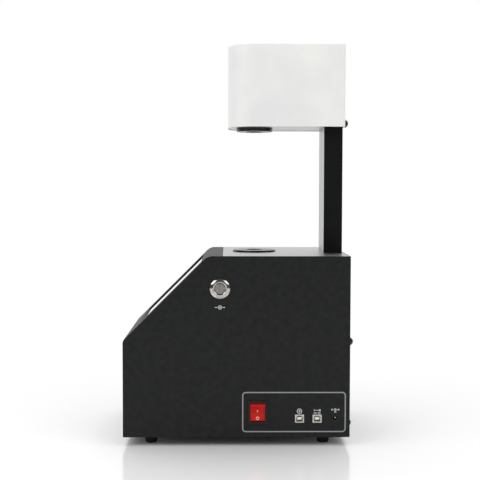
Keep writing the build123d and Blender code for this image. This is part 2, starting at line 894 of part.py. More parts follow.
def internal_leads():
    """Leads of detector, switch and button, and the flat ribbon of the display, to their plugs."""
    plug_top = main_board_z + board_t + plug_h
    lamp, detector, switch, button, display = plug_places()

    # Down beside the light trap from the underside of the detector's cup
    x = -detector_x - detector_cup_len / 2
    high = sphere_z - detector_drop - detector_cup_r - slip
    leads = [lead([(x, optical_y, high), (x, optical_y, plug_top + lead_rise + detector_lead_drop),
                   (detector[0], optical_y, plug_top + lead_rise), (detector[0], optical_y, plug_top)],
                  lead_turn)]

    # Straight in from the back of the switch
    leads.append(lead([(half_w - switch_body_len, switch_y, switch_z), (switch[0], switch_y, switch_z),
                       (switch[0], switch_y, plug_top)], lead_turn))

    # Forward over the sphere's flange, down in front of it and back to the board
    start_x = half_w + button_depths()[3] - contact_len + contact_inset
    turn_x = start_x - button_lead_reach
    down_y = optical_y - flange_size / 2 - button_lead_clear
    leads.append(lead([
        (start_x, button_y, button_z), (turn_x, button_y, button_z),
        (turn_x, down_y, sphere_z + button_lead_over),
        ((turn_x + button[0]) / 2, down_y, plug_top + 2 * lead_rise),
        (button[0], button[1], plug_top + lead_rise), (button[0], button[1], plug_top)], lead_turn))

    # Ribbon from the back of the display board to the front of the main board
    back = slope_plane(display_depths()[3] + board_t)
    start = back * Pos(display[0], -ribbon_down, 0)
    clear = back * Pos(display[0], -ribbon_down, -ribbon_out)
    path = FilletPolyline(
        start.position, clear.position, (display[0], down_y, plug_top + 2 * lead_rise),
        (display[0], display[1], plug_top + lead_rise), (display[0], display[1], plug_top), radius=lead_turn)
    strip = Plane(origin=start.position, x_dir=(1, 0, 0), z_dir=-back.z_dir) * Rectangle(ribbon_w, ribbon_t)
    return group(leads + [sweep(strip, path=path)])


def board_posts():
    """Posts under the main board and under the connector deck."""
    main = [(x, y, main_board_z) for x, y in main_board_places()]
    deck = [(x, y, deck_z - board_t) for x, y in deck_places()]
    return group(post(x, y, (floor_z, top), post_r) - post(x, y, (top - board_tap, top), m3_r + screw_fit)
                 for x, y, top in main + deck)


def board_screws():
    """Screws down through the main board and the connector board into their posts."""
    main = [(x, y, main_board_z + board_t) for x, y in main_board_places()]
    deck = [(x, y, deck_z) for x, y in deck_places()]
    screw = pan_screw(m3_head_r, m3_head_h, m3_r, board_t + board_screw_grip)
    return group(on(x, y, z, (0, 0, -1), screw) for x, y, z in main + deck)


def deck_ends():
    """Y of the connector board's front and back edge."""
    return usb_places()[0] - deck_front_margin, back_y - dc_from_back + deck_back_margin


def deck_places():
    """(x, y) of the connector board's posts."""
    x_out = inner_w - floor_flange - post_r - slip
    front, back = deck_ends()
    ys = (front + deck_post_edge, back - deck_post_edge)
    return [(x, y) for y in ys for x in (x_out, x_out - deck_width / 2)]


def connector_board():
    """Board behind the side wall that carries the sockets."""
    x = (inner_w - slip - deck_width, inner_w - slip)
    z = (deck_z - board_t, deck_z)
    board = block(x, deck_ends(), z)
    for x, y in deck_places():
        board -= post(x, y, z, m3_r + screw_fit)
    return board


def usb_shells():
    """Square sockets with the two bevelled upper corners."""
    face = half_w + socket_proud
    mid_z = deck_z + usb_h / 2
    bevel_y = usb_mouth_w / 2 - usb_mouth_bevel
    bevel_z = usb_mouth_h / 2 - usb_mouth_bevel
    mouth = make_face(Polyline(
        (-usb_mouth_w / 2, -usb_mouth_h / 2), (usb_mouth_w / 2, -usb_mouth_h / 2), (usb_mouth_w / 2, bevel_z),
        (bevel_y, usb_mouth_h / 2), (-bevel_y, usb_mouth_h / 2), (-usb_mouth_w / 2, bevel_z), close=True))
    shells = []
    for y in usb_places():
        shell = block((face - usb_len, face), (y - usb_w / 2, y + usb_w / 2), (deck_z, deck_z + usb_h))
        front = Plane(origin=(face, y, mid_z), x_dir=(0, 1, 0), z_dir=(1, 0, 0))
        shell -= extrude(front * mouth, usb_mouth_depth, both=True)
        shells.append(shell)
    return group(shells)


def usb_tongues():
    """White tongue in each square socket."""
    back = half_w + socket_proud - usb_mouth_depth
    z = deck_z + usb_h / 2
    return group(block((back, back + usb_tongue_len), (y - usb_tongue_w / 2, y + usb_tongue_w / 2),
                       (z - usb_tongue_h / 2, z + usb_tongue_h / 2)) for y in usb_places())


def dc_inlet():
    """Body of the low voltage inlet."""
    face = half_w + socket_proud
    y = back_y - dc_from_back
    body = block((face - dc_len, face), (y - dc_w / 2, y + dc_w / 2), (deck_z, deck_z + dc_h))
    return body - bar((face - dc_hole_depth, face), y, deck_z + dc_hole_up, dc_hole_r)


def dc_pin():
    """Centre pin of the inlet."""
    back = half_w + socket_proud - dc_hole_depth
    return bar((back, back + dc_pin_len), back_y - dc_from_back, deck_z + dc_hole_up, dc_pin_r)


# Push button, all turned about X and measured from the wall's outer face

def at_button(shape):
    """Put a button part that is turned about X in its hole."""
    return Pos(half_w, button_y, button_z) * shape


def button_gasket():
    """Rubber ring under the bezel."""
    inner = barrel_r + screw_fit
    return at_button(turned_along_x((0, inner), (gasket_t, inner), (gasket_t, gasket_r), (0, gasket_r)))


def button_depths():
    """X of the button's inner steps: recess floor, web front, web back, barrel end."""
    recess = gasket_t + bezel_h - cap_sink - cap_t - cap_travel - moving_gap
    web_front = gasket_t + bezel_h - cap_sink - cap_t - spring_len
    return recess, web_front, web_front - web_t, gasket_t - barrel_len


def button_bezel():
    """Polished domed bezel in one piece with its threaded barrel."""
    front = gasket_t + bezel_h
    recess, web_front, web_back, end = button_depths()
    cap_bore = cap_r + moving_gap
    dome = ThreePointArc(
        (gasket_t + bezel_edge, bezel_r), (front - bezel_edge, (bezel_r + bezel_land_r) / 2 + bezel_edge / 2),
        (front, bezel_land_r))
    rest = Polyline(
        (front, bezel_land_r), (front, bezel_mouth_r), (front - bezel_edge, cap_bore), (recess, cap_bore),
        (recess, spring_pocket_r), (web_front, spring_pocket_r), (web_front, stem_r + run_fit),
        (web_back, stem_r + run_fit), (web_back, contact_r + screw_fit), (end, contact_r + screw_fit),
        (end, barrel_r), (gasket_t, barrel_r), (gasket_t, bezel_r), (gasket_t + bezel_edge, bezel_r))
    return at_button(revolve(make_face(dome + rest), Axis.X))


def button_cap():
    """Moving cap with its stem and the collar that stops it."""
    face = gasket_t + bezel_h - cap_sink
    web_back = button_depths()[2]
    collar = web_back - moving_gap
    body = turned_along_x(
        (face, 0), (face, cap_r - cap_bevel), (face - cap_bevel, cap_r), (face - cap_t, cap_r),
        (face - cap_t, stem_r), (collar, stem_r), (collar, collar_r), (collar - collar_t, collar_r),
        (collar - collar_t, 0))
    return at_button(body)


def button_spring():
    """Return spring between the barrel's web and the cap."""
    web_front = button_depths()[1]
    lift = spring_len - 2 * spring_wire_r
    path = Helix(pitch=lift / spring_turns, height=lift, radius=spring_r)
    section = Plane(origin=path @ 0, z_dir=path % 0) * Circle(spring_wire_r)
    coil = sweep(section, path=path)
    return at_button(Pos(web_front + spring_wire_r, 0, 0) * Rot(0, 90, 0) * coil)


def button_nut():
    """Flat nut behind the side wall."""
    plate = nut(button_nut_af, barrel_r + screw_fit, button_nut_t)
    return at_button(Pos(-wall - button_nut_t, 0, 0) * Rot(0, 90, 0) * plate)


def contact_block():
    """Contact block plugged in the back of the barrel, with its terminals."""
    end = button_depths()[3]
    body = bar((end - contact_len + contact_inset, end + contact_inset), 0, 0, contact_r)
    back = end - contact_len + contact_inset
    for y in both_sides(contact_r / 2):
        body += block((back - contact_blade_len, back), (y - blade_t / 2, y + blade_t / 2),
                      both_sides(contact_blade_w / 2))
    return at_button(body)


# Power switch

def rocker_pivot():
    """X of the rocker's pivot."""
    return half_w - rocker_pivot_depth


def rocker():
    """Red rocker at rest with its lower end pressed in, on two pins."""
    reach = switch_mouth_h / 2 - moving_gap
    width = switch_mouth_w / 2 - moving_gap
    tall = 2 * reach
    depth = reach + rocker_back_offset
    side = Circle(reach) & Pos(reach - depth / 2, 0) * Rectangle(depth, tall)
    # The lower face is upright at rest, and the upper face leans outwards by the full travel
    in_front = Pos(rocker_face_offset + reach, 0) * Rectangle(tall, 2 * tall)
    valley = -rocker_face_offset * tan(radians(rocker_travel) / 2)
    lower = (side - in_front) & Pos(0, valley - reach) * Rectangle(2 * tall, tall)
    upper = (side - Rot(0, 0, -rocker_travel) * in_front) & Pos(0, valley + reach) * Rectangle(2 * tall, tall)
    upright = Plane(origin=(0, 0, 0), x_dir=(1, 0, 0), z_dir=(0, -1, 0))
    body = extrude(upright * (lower + upper), width, both=True)
    face_end = (reach ** 2 - rocker_face_offset ** 2) ** 0.5
    groove = Box(2 * rocker_groove_d, 2 * width, rocker_groove_w)
    body -= Pos(rocker_face_offset, 0, rocker_groove_in - face_end) * groove
    body -= Rot(0, rocker_travel, 0) * Pos(rocker_face_offset, 0, face_end - rocker_groove_in) * groove
    pin_reach = width + moving_gap + rocker_pin_len
    body += Cylinder(rocker_pin_r, 2 * pin_reach, rotation=(90, 0, 0))
    return Pos(rocker_pivot(), switch_y, switch_z) * body


def rocker_frame():
    """Black bezel and body of the power switch."""
    rim = extrude(Plane.YZ * RectangleRounded(switch_bezel_w, switch_bezel_h, switch_corner_r), switch_rim_t)
    rim = chamfer(rim.edges().group_by(Axis.X)[-1], switch_rim_bevel)
    body_w = switch_mouth_w + 2 * switch_body_wall
    body_h = switch_mouth_h + 2 * switch_body_wall
    frame = rim + extrude(Plane.YZ * Rectangle(body_w, body_h), -switch_body_len)
    mouth = Plane.YZ * Rectangle(switch_mouth_w, switch_mouth_h)
    frame -= extrude(mouth, switch_rim_t)
    frame -= extrude(mouth, -switch_cavity)
    frame -= Pos(-rocker_pivot_depth, 0, 0) * Cylinder(rocker_pin_r + run_fit, body_w, rotation=(90, 0, 0))
    return Pos(half_w, switch_y, switch_z) * frame


def rocker_terminals():
    """Four blades at the back of the power switch."""
    back = half_w - switch_body_len
    blades = []
    blade = block((back - switch_blade_len, back), both_sides(blade_t / 2), both_sides(switch_blade_w / 2))
    for y in both_sides(switch_mouth_w / 4):
        for z in both_sides(switch_mouth_h / 4):
            blades.append(Pos(0, switch_y + y, switch_z + z) * blade)
    return group(blades)


# Column

def saddle_screw_places():
    """(x, y) of the screws through a column bracket's foot."""
    ys = (column_y - saddle_screw_front, column_y - saddle_screw_back)
    return [(x, y) for y in ys for x in both_sides(column_w / 2 + saddle_screw_out)]


def wing_screw_heights():
    """Heights of the wing screws over a column bracket's foot."""
    return (wing_screw_low, wing_screw_high)


def column_channel():
    """Black channel that opens to the front and runs from inside the base to inside the head."""
    z = (plate_z - column_foot_drop, head_floor_z + column_head_reach)
    half = column_w / 2
    channel = block(both_sides(half), (column_y, column_back_y), z)
    channel -= block(both_sides(half - column_wall), (column_y, column_back_y - column_wall), z)
    channel = fillet(channel.edges().filter_by(Axis.Z).group_by(Axis.Y)[-1], seam_r)
    for h in wing_screw_heights():
        for z_hole in (head_floor_z + h, plate_z - h):
            channel -= bar(both_sides(half), (column_y + column_back_y) / 2, z_hole, m4_r + screw_fit)
    return channel


def column_cover():
    """Light cover strip in the channel's mouth, with a middle groove."""
    half = column_w / 2 - column_wall - slip
    cover = block(both_sides(half), (column_y, column_y + cover_t), (plate_z, head_floor_z))
    return cover - block(both_sides(cover_groove_w / 2), (column_y, column_y + cover_groove_d),
                         (plate_z, head_floor_z))


def saddle():
    """Folded bracket on the XY plane that grips the column between two wings."""
    mid_y = (column_y + column_back_y) / 2
    seat = column_w / 2 + slip
    bracket = block(both_sides(saddle_half_w), (column_y - saddle_reach, column_y - slip), (0, saddle_t))
    for side in (-1, 1):
        x = sorted((side * seat, side * (seat + saddle_t)))
        bracket += block(x, (column_y - slip, column_back_y - slip), (0, saddle_t))
        bracket += block(x, (column_y, column_back_y - slip), (saddle_t, saddle_wing))
    for x, y in saddle_screw_places():
        bracket -= post(x, y, (0, saddle_t), m4_r + screw_fit)
    for h in wing_screw_heights():
        bracket -= bar(both_sides(saddle_half_w), mid_y, h, m4_r + screw_fit)
    return bracket


def head_bracket():
    """Column bracket on the head's bottom plate."""
    return Pos(0, 0, head_floor_z) * saddle()


def base_bracket():
    """Column bracket under the top plate."""
    return Pos(0, 0, plate_z) * mirror(saddle(), Plane.XY)


def bracket_screws():
    """Screws up through each bracket's foot: under the head they show, under the top plate they don't."""
    flush = countersunk_screw(m4_head_r, m4_r, head_plate_t + saddle_t + screw_spare)
    hidden = pan_screw(m4_head_r, m4_head_h, m4_r, saddle_t + blind_reach)
    seats = ((head_plate_z, flush), (plate_z - saddle_t, hidden))
    return group(Pos(x, y, z) * screw for x, y in saddle_screw_places() for z, screw in seats)


def column_screws():
    """Screws through the wings into the column's side walls."""
    seat = column_w / 2 + slip + saddle_t
    mid_y = (column_y + column_back_y) / 2
    screw = pan_screw(m4_head_r, m4_head_h, m4_r, slip + saddle_t + column_wall)
    screws = []
    for h in wing_screw_heights():
        for z in (head_floor_z + h, plate_z - h):
            screws += [on(side * seat, mid_y, z, (-side, 0, 0), screw) for side in (-1, 1)]
    return group(screws)


def lamp_lead():
    """Lead from the main board up the column to the LED board."""
    y = (column_y + column_back_y) / 2
    low = main_board_z + board_t + plug_h
    high = led_z() + board_t + plug_h / 2
    end_y = optical_y + led_tongue_reach
    path = FilletPolyline((0, y, low), (0, y, high), (0, end_y, high), radius=lead_bend_r)
    return sweep(Plane(origin=(0, y, low), z_dir=(0, 0, 1)) * Circle(lead_r), path=path)


# Lamp head

def head_outline(inset):
    """Plan outline of the head, moved inwards by inset."""
    half = head_w / 2 - inset
    front_r = head_front_r - inset
    back_r = max(head_back_r - inset, seam_r)
    corners = FilletPolyline(
        (-half, head_back_y - inset), (-half, head_front_y + inset), (half, head_front_y + inset),
        (half, head_back_y - inset), radius=[back_r, front_r, front_r, back_r], close=True)
    return make_face(corners)


def head_shell():
    """White cover of the head, open below, with the lip that rests on the bottom plate."""
    shell = extrude(Pos(0, 0, head_z) * head_outline(0), head_h)
    shell = fillet(shell.edges().group_by(Axis.Z)[-1], head_top_r)
    shell -= extrude(Pos(0, 0, head_z) * head_outline(head_wall), head_h - head_wall)
    lip = extrude(Pos(0, 0, head_floor_z) * (head_outline(head_wall) - head_outline(head_wall + head_lip_w)),
                  head_wall)
    lip -= block(both_sides(head_w), (column_y - saddle_reach - slip, head_back_y),
                 (head_floor_z, head_floor_z + head_wall))
    shell += lip
    for x in both_sides(head_w / 2 - head_screw_inboard):
        shell -= on(x, head_back_y - head_wall, head_z + head_screw_up, (0, 1, 0),
                    post(0, 0, (0, head_wall), rear_screw_r + screw_fit))
    return shell


def head_bottom_plate():
    """Plate that closes the head and carries the lamp, with two tabs for the rear screws."""
    plate = extrude(Pos(0, 0, head_plate_z) * head_outline(head_wall + slip), head_plate_t)
    half_c = column_w / 2 + slip
    plate -= block((-half_c, half_c), (column_y - slip, head_back_y), (head_plate_z, head_floor_z))
    tab_x = head_w / 2 - head_screw_inboard
    seat = head_back_y - head_wall - slip
    for x in both_sides(tab_x):
        tab = block((x - head_tab_w / 2, x + head_tab_w / 2), (seat - head_plate_t, seat),
                    (head_plate_z, head_plate_z + head_tab_h))
        tab &= block(both_sides(head_w / 2 - head_wall - head_back_r), (seat - head_plate_t, seat),
                     (head_plate_z, head_plate_z + head_tab_h))
        plate += tab
        plate -= on(x, seat, head_z + head_screw_up, (0, -1, 0),
                    post(0, 0, (0, rear_screw_len), rear_screw_r + screw_fit))
    plate -= post(0, optical_y, (head_plate_z, head_floor_z), lens_neck_r + slip)
    hole = countersunk_screw(m4_head_r + screw_fit, m4_r + screw_fit, head_plate_t)
    for x, y in saddle_screw_places():
        plate -= Pos(x, y, head_plate_z) * hole
    return plate


def lens_ring():
    """Black ring under the head, in two tiers with a groove between, that carries the lens."""
    low = head_plate_z - head_plate_recess - lens_ring_drop
    groove = low + lens_ring_drop / 2
    groove_r = lens_ring_r - lens_ring_groove
    body = turned(
        (lens_ring_aperture + 2 * lens_ring_round, low), (lens_ring_r - lens_ring_round, low),
        (lens_ring_r, low + lens_ring_round), (lens_ring_r, groove - lens_ring_round),
        (groove_r, groove - lens_ring_round), (groove_r, groove + lens_ring_round),
        (lens_ring_r, groove + lens_ring_round), (lens_ring_r, head_plate_z), (lens_neck_r, head_plate_z),
        (lens_neck_r, head_plate_z + lens_neck_h), (lens_ring_aperture, head_plate_z + lens_neck_h),
        (lens_ring_aperture, low + 2 * lens_ring_round))
    return Pos(0, optical_y, 0) * body


def lens_seat_z():
    """Height of the lens ring's neck, which the lens rests on."""
    return head_plate_z + lens_neck_h


def led_z():
    """Height of the tube's top, which the LED board rests on."""
    return head_floor_z + tube_len


def collimator_tube():
    """Tube over the lens ring, with the flange that stands on the bottom plate."""
    inner = lens_neck_r + slip
    outer = inner + tube_wall
    body = turned(
        (inner, head_floor_z), (tube_flange_r, head_floor_z), (tube_flange_r, head_floor_z + tube_flange_t),
        (outer, head_floor_z + tube_flange_t), (outer, led_z()), (inner, led_z()))
    return Pos(0, optical_y, 0) * body


def collimator_lens():
    """Lens with one domed face, on the lens ring's neck."""
    z = lens_seat_z()
    r = lens_neck_r
    ball_r = (r ** 2 + lens_bulge ** 2) / (2 * lens_bulge)
    dome = Pos(0, 0, z + lens_edge_t + lens_bulge - ball_r) * Sphere(ball_r)
    dome &= post(0, 0, (z + lens_edge_t, z + lens_edge_t + 2 * lens_bulge), r)
    return Pos(0, optical_y, 0) * (dome + post(0, 0, (z, z + lens_edge_t), r))


def lens_retainer():
    """Ring that holds the lens down."""
    z = lens_seat_z() + lens_edge_t
    inner = lens_neck_r - retainer_w
    body = turned(
        (inner, z + retainer_bevel), (lens_neck_r, z), (lens_neck_r, z + retainer_t), (inner, z + retainer_t))
    return Pos(0, optical_y, 0) * body


def led_board():
    """Round metal board with the LED, on the tube, and the plug of the lamp lead."""
    r = lens_neck_r + slip + tube_wall
    z = led_z()
    board = extrude(Circle(r), board_t)
    board += block(both_sides(led_tongue_w / 2), (0, led_tongue_reach), (0, board_t))
    board += block(both_sides(plug_w / 2), (led_tongue_reach - plug_len, led_tongue_reach),
                   (board_t, board_t + plug_h))
    dome = Sphere(led_dome_r) & block(both_sides(led_dome_r), both_sides(led_dome_r), (-led_dome_r, 0))
    return Pos(0, optical_y, z) * (board + dome)


def heat_sink():
    """Finned heat sink on the LED board."""
    half = sink_size / 2
    z = led_z() + board_t
    sink = block(both_sides(half), both_sides(half), (0, sink_base_t))
    pitch = (sink_size - sink_fin_t) / (sink_fins - 1)
    for i in range(sink_fins):
        x = i * pitch - half
        sink += block((x, x + sink_fin_t), both_sides(half), (sink_base_t, sink_base_t + sink_fin_h))
    return Pos(0, optical_y, z) * sink


parts = {
    "main_housing": main_housing,
    "top_plate": top_plate,
    "top_plate_screws": top_plate_screws,
    "rear_panel": rear_panel,
    "rear_screws": rear_screws,
    "rear_washers": rear_washers,
    "bottom_plate": bottom_plate,
    "bottom_plate_screws": bottom_plate_screws,
    "rubber_feet": rubber_feet,
    "foot_screws": foot_screws,
    "foot_nuts": foot_nuts,
    "display_glass": display_glass,
    "display_gasket": display_gasket,
    "lcd_module": lcd_module,
    "display_board": display_board,
    "display_posts": display_posts,
    "display_screws": display_screws,
    "port_ring": port_ring,
    "sphere_upper_half": lambda: sphere_half(1),
    "sphere_lower_half": sphere_lower_half,
    "sphere_screws": sphere_screws,
    "sphere_pillars": sphere_pillars,
    "light_trap": light_trap,
    "detector_housing": detector_housing,
    "detector_filter": detector_filter,
    "detector_board": detector_board,
    "main_board": main_board,
    "board_components": board_components,
    "board_posts": board_posts,
    "board_screws": board_screws,
    "internal_leads": internal_leads,
    "connector_board": connector_board,
    "usb_shells": usb_shells,
    "usb_tongues": usb_tongues,
    "dc_inlet": dc_inlet,
    "dc_pin": dc_pin,
    "button_gasket": button_gasket,
    "button_bezel": button_bezel,
    "button_cap": button_cap,
    "button_spring": button_spring,
    "button_nut": button_nut,
    "contact_block": contact_block,
    "rocker": rocker,
    "rocker_frame": rocker_frame,
    "rocker_terminals": rocker_terminals,
    "column_channel": column_channel,
    "column_cover": column_cover,
    "base_bracket": base_bracket,
    "head_bracket": head_bracket,
    "bracket_screws": bracket_screws,
    "column_screws": column_screws,
    "lamp_lead": lamp_lead,
    "head_shell": head_shell,
    "head_bottom_plate": head_bottom_plate,
    "lens_ring": lens_ring,
    "collimator_tube": collimator_tube,
    "collimator_lens": collimator_lens,
    "lens_retainer": lens_retainer,
    "led_board": led_board,
    "heat_sink": heat_sink,
}

os.makedirs("parts", exist_ok=True)
for node, make in parts.items():
    export_step(make(), f"parts/{node}.step")
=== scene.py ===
"""Looks of a benchtop turbidity meter: finishes, printed marks, studio and camera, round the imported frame."""

from __future__ import annotations

import json
import logging
import math
from dataclasses import dataclass
from enum import Enum

import bpy
from mathutils import Matrix, Vector

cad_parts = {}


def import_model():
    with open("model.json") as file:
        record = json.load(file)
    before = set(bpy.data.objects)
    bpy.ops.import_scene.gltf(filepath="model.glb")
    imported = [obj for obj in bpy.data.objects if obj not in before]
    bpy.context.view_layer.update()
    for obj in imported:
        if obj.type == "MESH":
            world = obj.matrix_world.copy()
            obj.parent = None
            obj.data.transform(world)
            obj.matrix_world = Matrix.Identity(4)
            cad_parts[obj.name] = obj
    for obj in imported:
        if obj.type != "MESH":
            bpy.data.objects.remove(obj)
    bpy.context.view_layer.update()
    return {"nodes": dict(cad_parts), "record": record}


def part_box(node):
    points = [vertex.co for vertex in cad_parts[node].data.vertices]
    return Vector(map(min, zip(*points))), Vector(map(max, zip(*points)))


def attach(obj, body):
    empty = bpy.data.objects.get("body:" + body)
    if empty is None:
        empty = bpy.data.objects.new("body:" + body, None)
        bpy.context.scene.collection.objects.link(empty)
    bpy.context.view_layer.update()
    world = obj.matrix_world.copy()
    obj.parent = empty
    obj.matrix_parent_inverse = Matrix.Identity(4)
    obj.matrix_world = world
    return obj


LOG = logging.getLogger("turbidity_meter")
MM = 0.001
# A noise stays mostly between these values: where the two shades lie, and where the gloss starts and ends
SHADE_STOPS = (0.35, 0.65)
GLOSS_STOPS = (0.3, 0.7)


class Body(str, Enum):
    """Bodies of the frame that pieces ride on."""

    BASE = "base"
    BUTTON = "button"
    ROCKER = "rocker"


# Colour and shader helpers


def hex_colour(code: str) -> tuple[float, float, float, float]:
    """Turn an sRGB hex value into a linear colour.

    Args:
        code: Six hex digits, such as "2B2C2C".

    Returns:
        Linear red, green, blue and an alpha of 1.
    """
    channels = [int(code[i:i + 2], 16) / 255 for i in (0, 2, 4)]
    linear = [c / 12.92 if c <= 0.04045 else ((c + 0.055) / 1.055) ** 2.4 for c in channels]
    return (*linear, 1.0)


def per_metre(millimetres: float) -> float:
    """Texture scale at which one feature is this many millimetres across."""
    return 1000.0 / millimetres


def add_node(tree: bpy.types.NodeTree, kind: str, inputs: dict | None = None, **settings) -> bpy.types.Node:
    """Add a shader node with its settings, values and links.

    Args:
        tree: Node tree that gets the node.
        kind: Blender's type name of the node.
        inputs: Socket name or index, and its value or the output socket that feeds it.
        **settings: Properties of the node.

    Returns:
        The new node.
    """
    node = tree.nodes.new(kind)
    for name, value in settings.items():
        setattr(node, name, value)
    for socket, value in (inputs or {}).items():
        if isinstance(value, bpy.types.NodeSocket):
            tree.links.new(value, node.inputs[socket])
        else:
            node.inputs[socket].default_value = value
    return node


@dataclass(frozen=True)
class Finish:
    """A surface finish: what the material is and how its surface was made."""

    name: str
    colour: str
    roughness: float = 0.5
    metallic: float = 0.0
    specular: float = 0.5
    coat: float = 0.0
    coat_roughness: float = 0.1
    # Width of a patch of shade, size of the fine texture and height of its relief, in millimetres
    patch: float = 10.0
    fine: float = 0.5
    depth: float = 0.006
    # How far the roughness wanders
    spread: float = 0.05

    def shader(self, tree: bpy.types.NodeTree) -> bpy.types.Node:
        """Add the surface shader with the values that are the same all over.

        Args:
            tree: Node tree of the material.

        Returns:
            The shader node.
        """
        shader = add_node(tree, "ShaderNodeBsdfPrincipled", {
            "Base Color": hex_colour(self.colour), "Roughness": self.roughness, "Metallic": self.metallic,
            "Specular IOR Level": self.specular, "Coat Weight": self.coat,
            "Coat Roughness": self.coat_roughness})
        add_node(tree, "ShaderNodeOutputMaterial", {"Surface": shader.outputs["BSDF"]})
        return shader

    def dress(self, tree: bpy.types.NodeTree, shader: bpy.types.Node, place: bpy.types.NodeSocket) -> None:
        """Add the pattern of the finish. Each kind of finish has its own.

        Args:
            tree: Node tree of the material.
            shader: Surface shader to feed.
            place: Object coordinates, in metres.
        """
        raise NotImplementedError

    def material(self) -> bpy.types.Material:
        """Make the material, or return it if it exists.

        Returns:
            The material of this finish.
        """
        known = bpy.data.materials.get(self.name)
        if known:
            return known
        made = bpy.data.materials.new(self.name)
        made.use_nodes = True
        tree = made.node_tree
        tree.nodes.clear()
        place = add_node(tree, "ShaderNodeTexCoord").outputs["Object"]
        self.dress(tree, self.shader(tree), place)
        return made

    def noise(self, tree: bpy.types.NodeTree, place: bpy.types.NodeSocket, size: float,
              detail: float, roughness: float = 0.5) -> bpy.types.NodeSocket:
        """Add a cloudy pattern.

        Args:
            tree: Node tree of the material.
            place: Coordinates of the pattern.
            size: Width of a cloud in millimetres.
            detail: Detail of the noise.
            roughness: How strong the finer detail is.

        Returns:
            The pattern, from 0 to 1.
        """
        clouds = add_node(tree, "ShaderNodeTexNoise", {
            "Vector": place, "Scale": per_metre(size), "Detail": detail, "Roughness": roughness})
        return clouds.outputs["Fac"]

    def shades(self, tree: bpy.types.NodeTree, shader: bpy.types.Node, place: bpy.types.NodeSocket,
               size: float, darker: str, lighter: str, detail: float = 3.0) -> bpy.types.NodeSocket:
        """Let the colour wander softly between two shades.

        Args:
            tree: Node tree of the material.
            shader: Surface shader to feed.
            place: Coordinates of the pattern.
            size: Width of a patch in millimetres.
            darker: Hex value of the darker shade.
            lighter: Hex value of the lighter shade.
            detail: Detail of the noise.

        Returns:
            The noise that drives the shades, from 0 to 1.
        """
        patch = self.noise(tree, place, size, detail)
        ramp = add_node(tree, "ShaderNodeValToRGB", {"Fac": patch})
        for stop, position, shade in zip(ramp.color_ramp.elements, SHADE_STOPS, (darker, lighter)):
            stop.position, stop.color = position, hex_colour(shade)
        tree.links.new(ramp.outputs["Color"], shader.inputs["Base Color"])
        return patch

    def gloss(self, tree: bpy.types.NodeTree, shader: bpy.types.Node, driver: bpy.types.NodeSocket,
              smoother: float, rougher: float) -> None:
        """Let the roughness follow a pattern.

        Args:
            tree: Node tree of the material.
            shader: Surface shader to feed.
            driver: Pattern from 0 to 1.
            smoother: How much less rough it is where the pattern is low.
            rougher: How much rougher it is where the pattern is high.
        """
        wander = add_node(tree, "ShaderNodeMapRange", {
            "Value": driver, "From Min": GLOSS_STOPS[0], "From Max": GLOSS_STOPS[1],
            "To Min": self.roughness - smoother, "To Max": self.roughness + rougher})
        tree.links.new(wander.outputs["Result"], shader.inputs["Roughness"])

    def relief(self, tree: bpy.types.NodeTree, shader: bpy.types.Node, height: bpy.types.NodeSocket) -> None:
        """Raise the surface by a pattern.

        Args:
            tree: Node tree of the material.
            shader: Surface shader to feed.
            height: Pattern from 0 to 1.
        """
        bump = add_node(tree, "ShaderNodeBump", {
            "Height": height, "Distance": self.depth * MM, "Strength": 1.0})
        tree.links.new(bump.outputs["Normal"], shader.inputs["Normal"])


@dataclass(frozen=True)
class PowderCoat(Finish):
    """Polyester powder coat baked on steel: a fine leathery grain that breaks up highlights."""

    darker: str = "121314"
    lighter: str = "1A1B1C"
    patch: float = 9.0
    fine: float = 1.1
    spread: float = 0.06
    depth: float = 0.035

    def dress(self, tree: bpy.types.NodeTree, shader: bpy.types.Node, place: bpy.types.NodeSocket) -> None:
        """Add the cloudy shade and the grain of the coat."""
        self.shades(tree, shader, place, self.patch, self.darker, self.lighter, detail=6.0)
        grain = self.noise(tree, place, self.fine, 3.0, 0.6)
        self.gloss(tree, shader, grain, self.spread, self.spread)
        self.relief(tree, shader, grain)


@dataclass(frozen=True)
class SprayedPaint(Finish):
    """Two-pack paint sprayed on sheet metal: smooth, with a faint orange peel."""

    darker: str = "E4E5E4"
    lighter: str = "EEEEEB"
    patch: float = 70.0
    fine: float = 2.6
    spread: float = 0.04

    def dress(self, tree: bpy.types.NodeTree, shader: bpy.types.Node, place: bpy.types.NodeSocket) -> None:
        """Add the orange peel and a hardly visible change of shade."""
        self.shades(tree, shader, place, self.patch, self.darker, self.lighter)
        peel = self.noise(tree, place, self.fine, 1.0, 0.4)
        self.gloss(tree, shader, peel, self.spread, self.spread)
        self.relief(tree, shader, peel)


@dataclass(frozen=True)
class Anodised(Finish):
    """Bead-blasted and anodised aluminium: an even satin with a very fine grit."""

    darker: str = "A9AAAC"
    lighter: str = "B6B7B9"
    patch: float = 38.0
    smoother: float = 0.03

    def dress(self, tree: bpy.types.NodeTree, shader: bpy.types.Node, place: bpy.types.NodeSocket) -> None:
        """Add the grit and faint clouds from the bath."""
        cloud = self.shades(tree, shader, place, self.patch, self.darker, self.lighter)
        self.gloss(tree, shader, cloud, self.smoother, self.spread)
        grit = self.noise(tree, place, self.fine, 2.0)
        self.relief(tree, shader, grit)


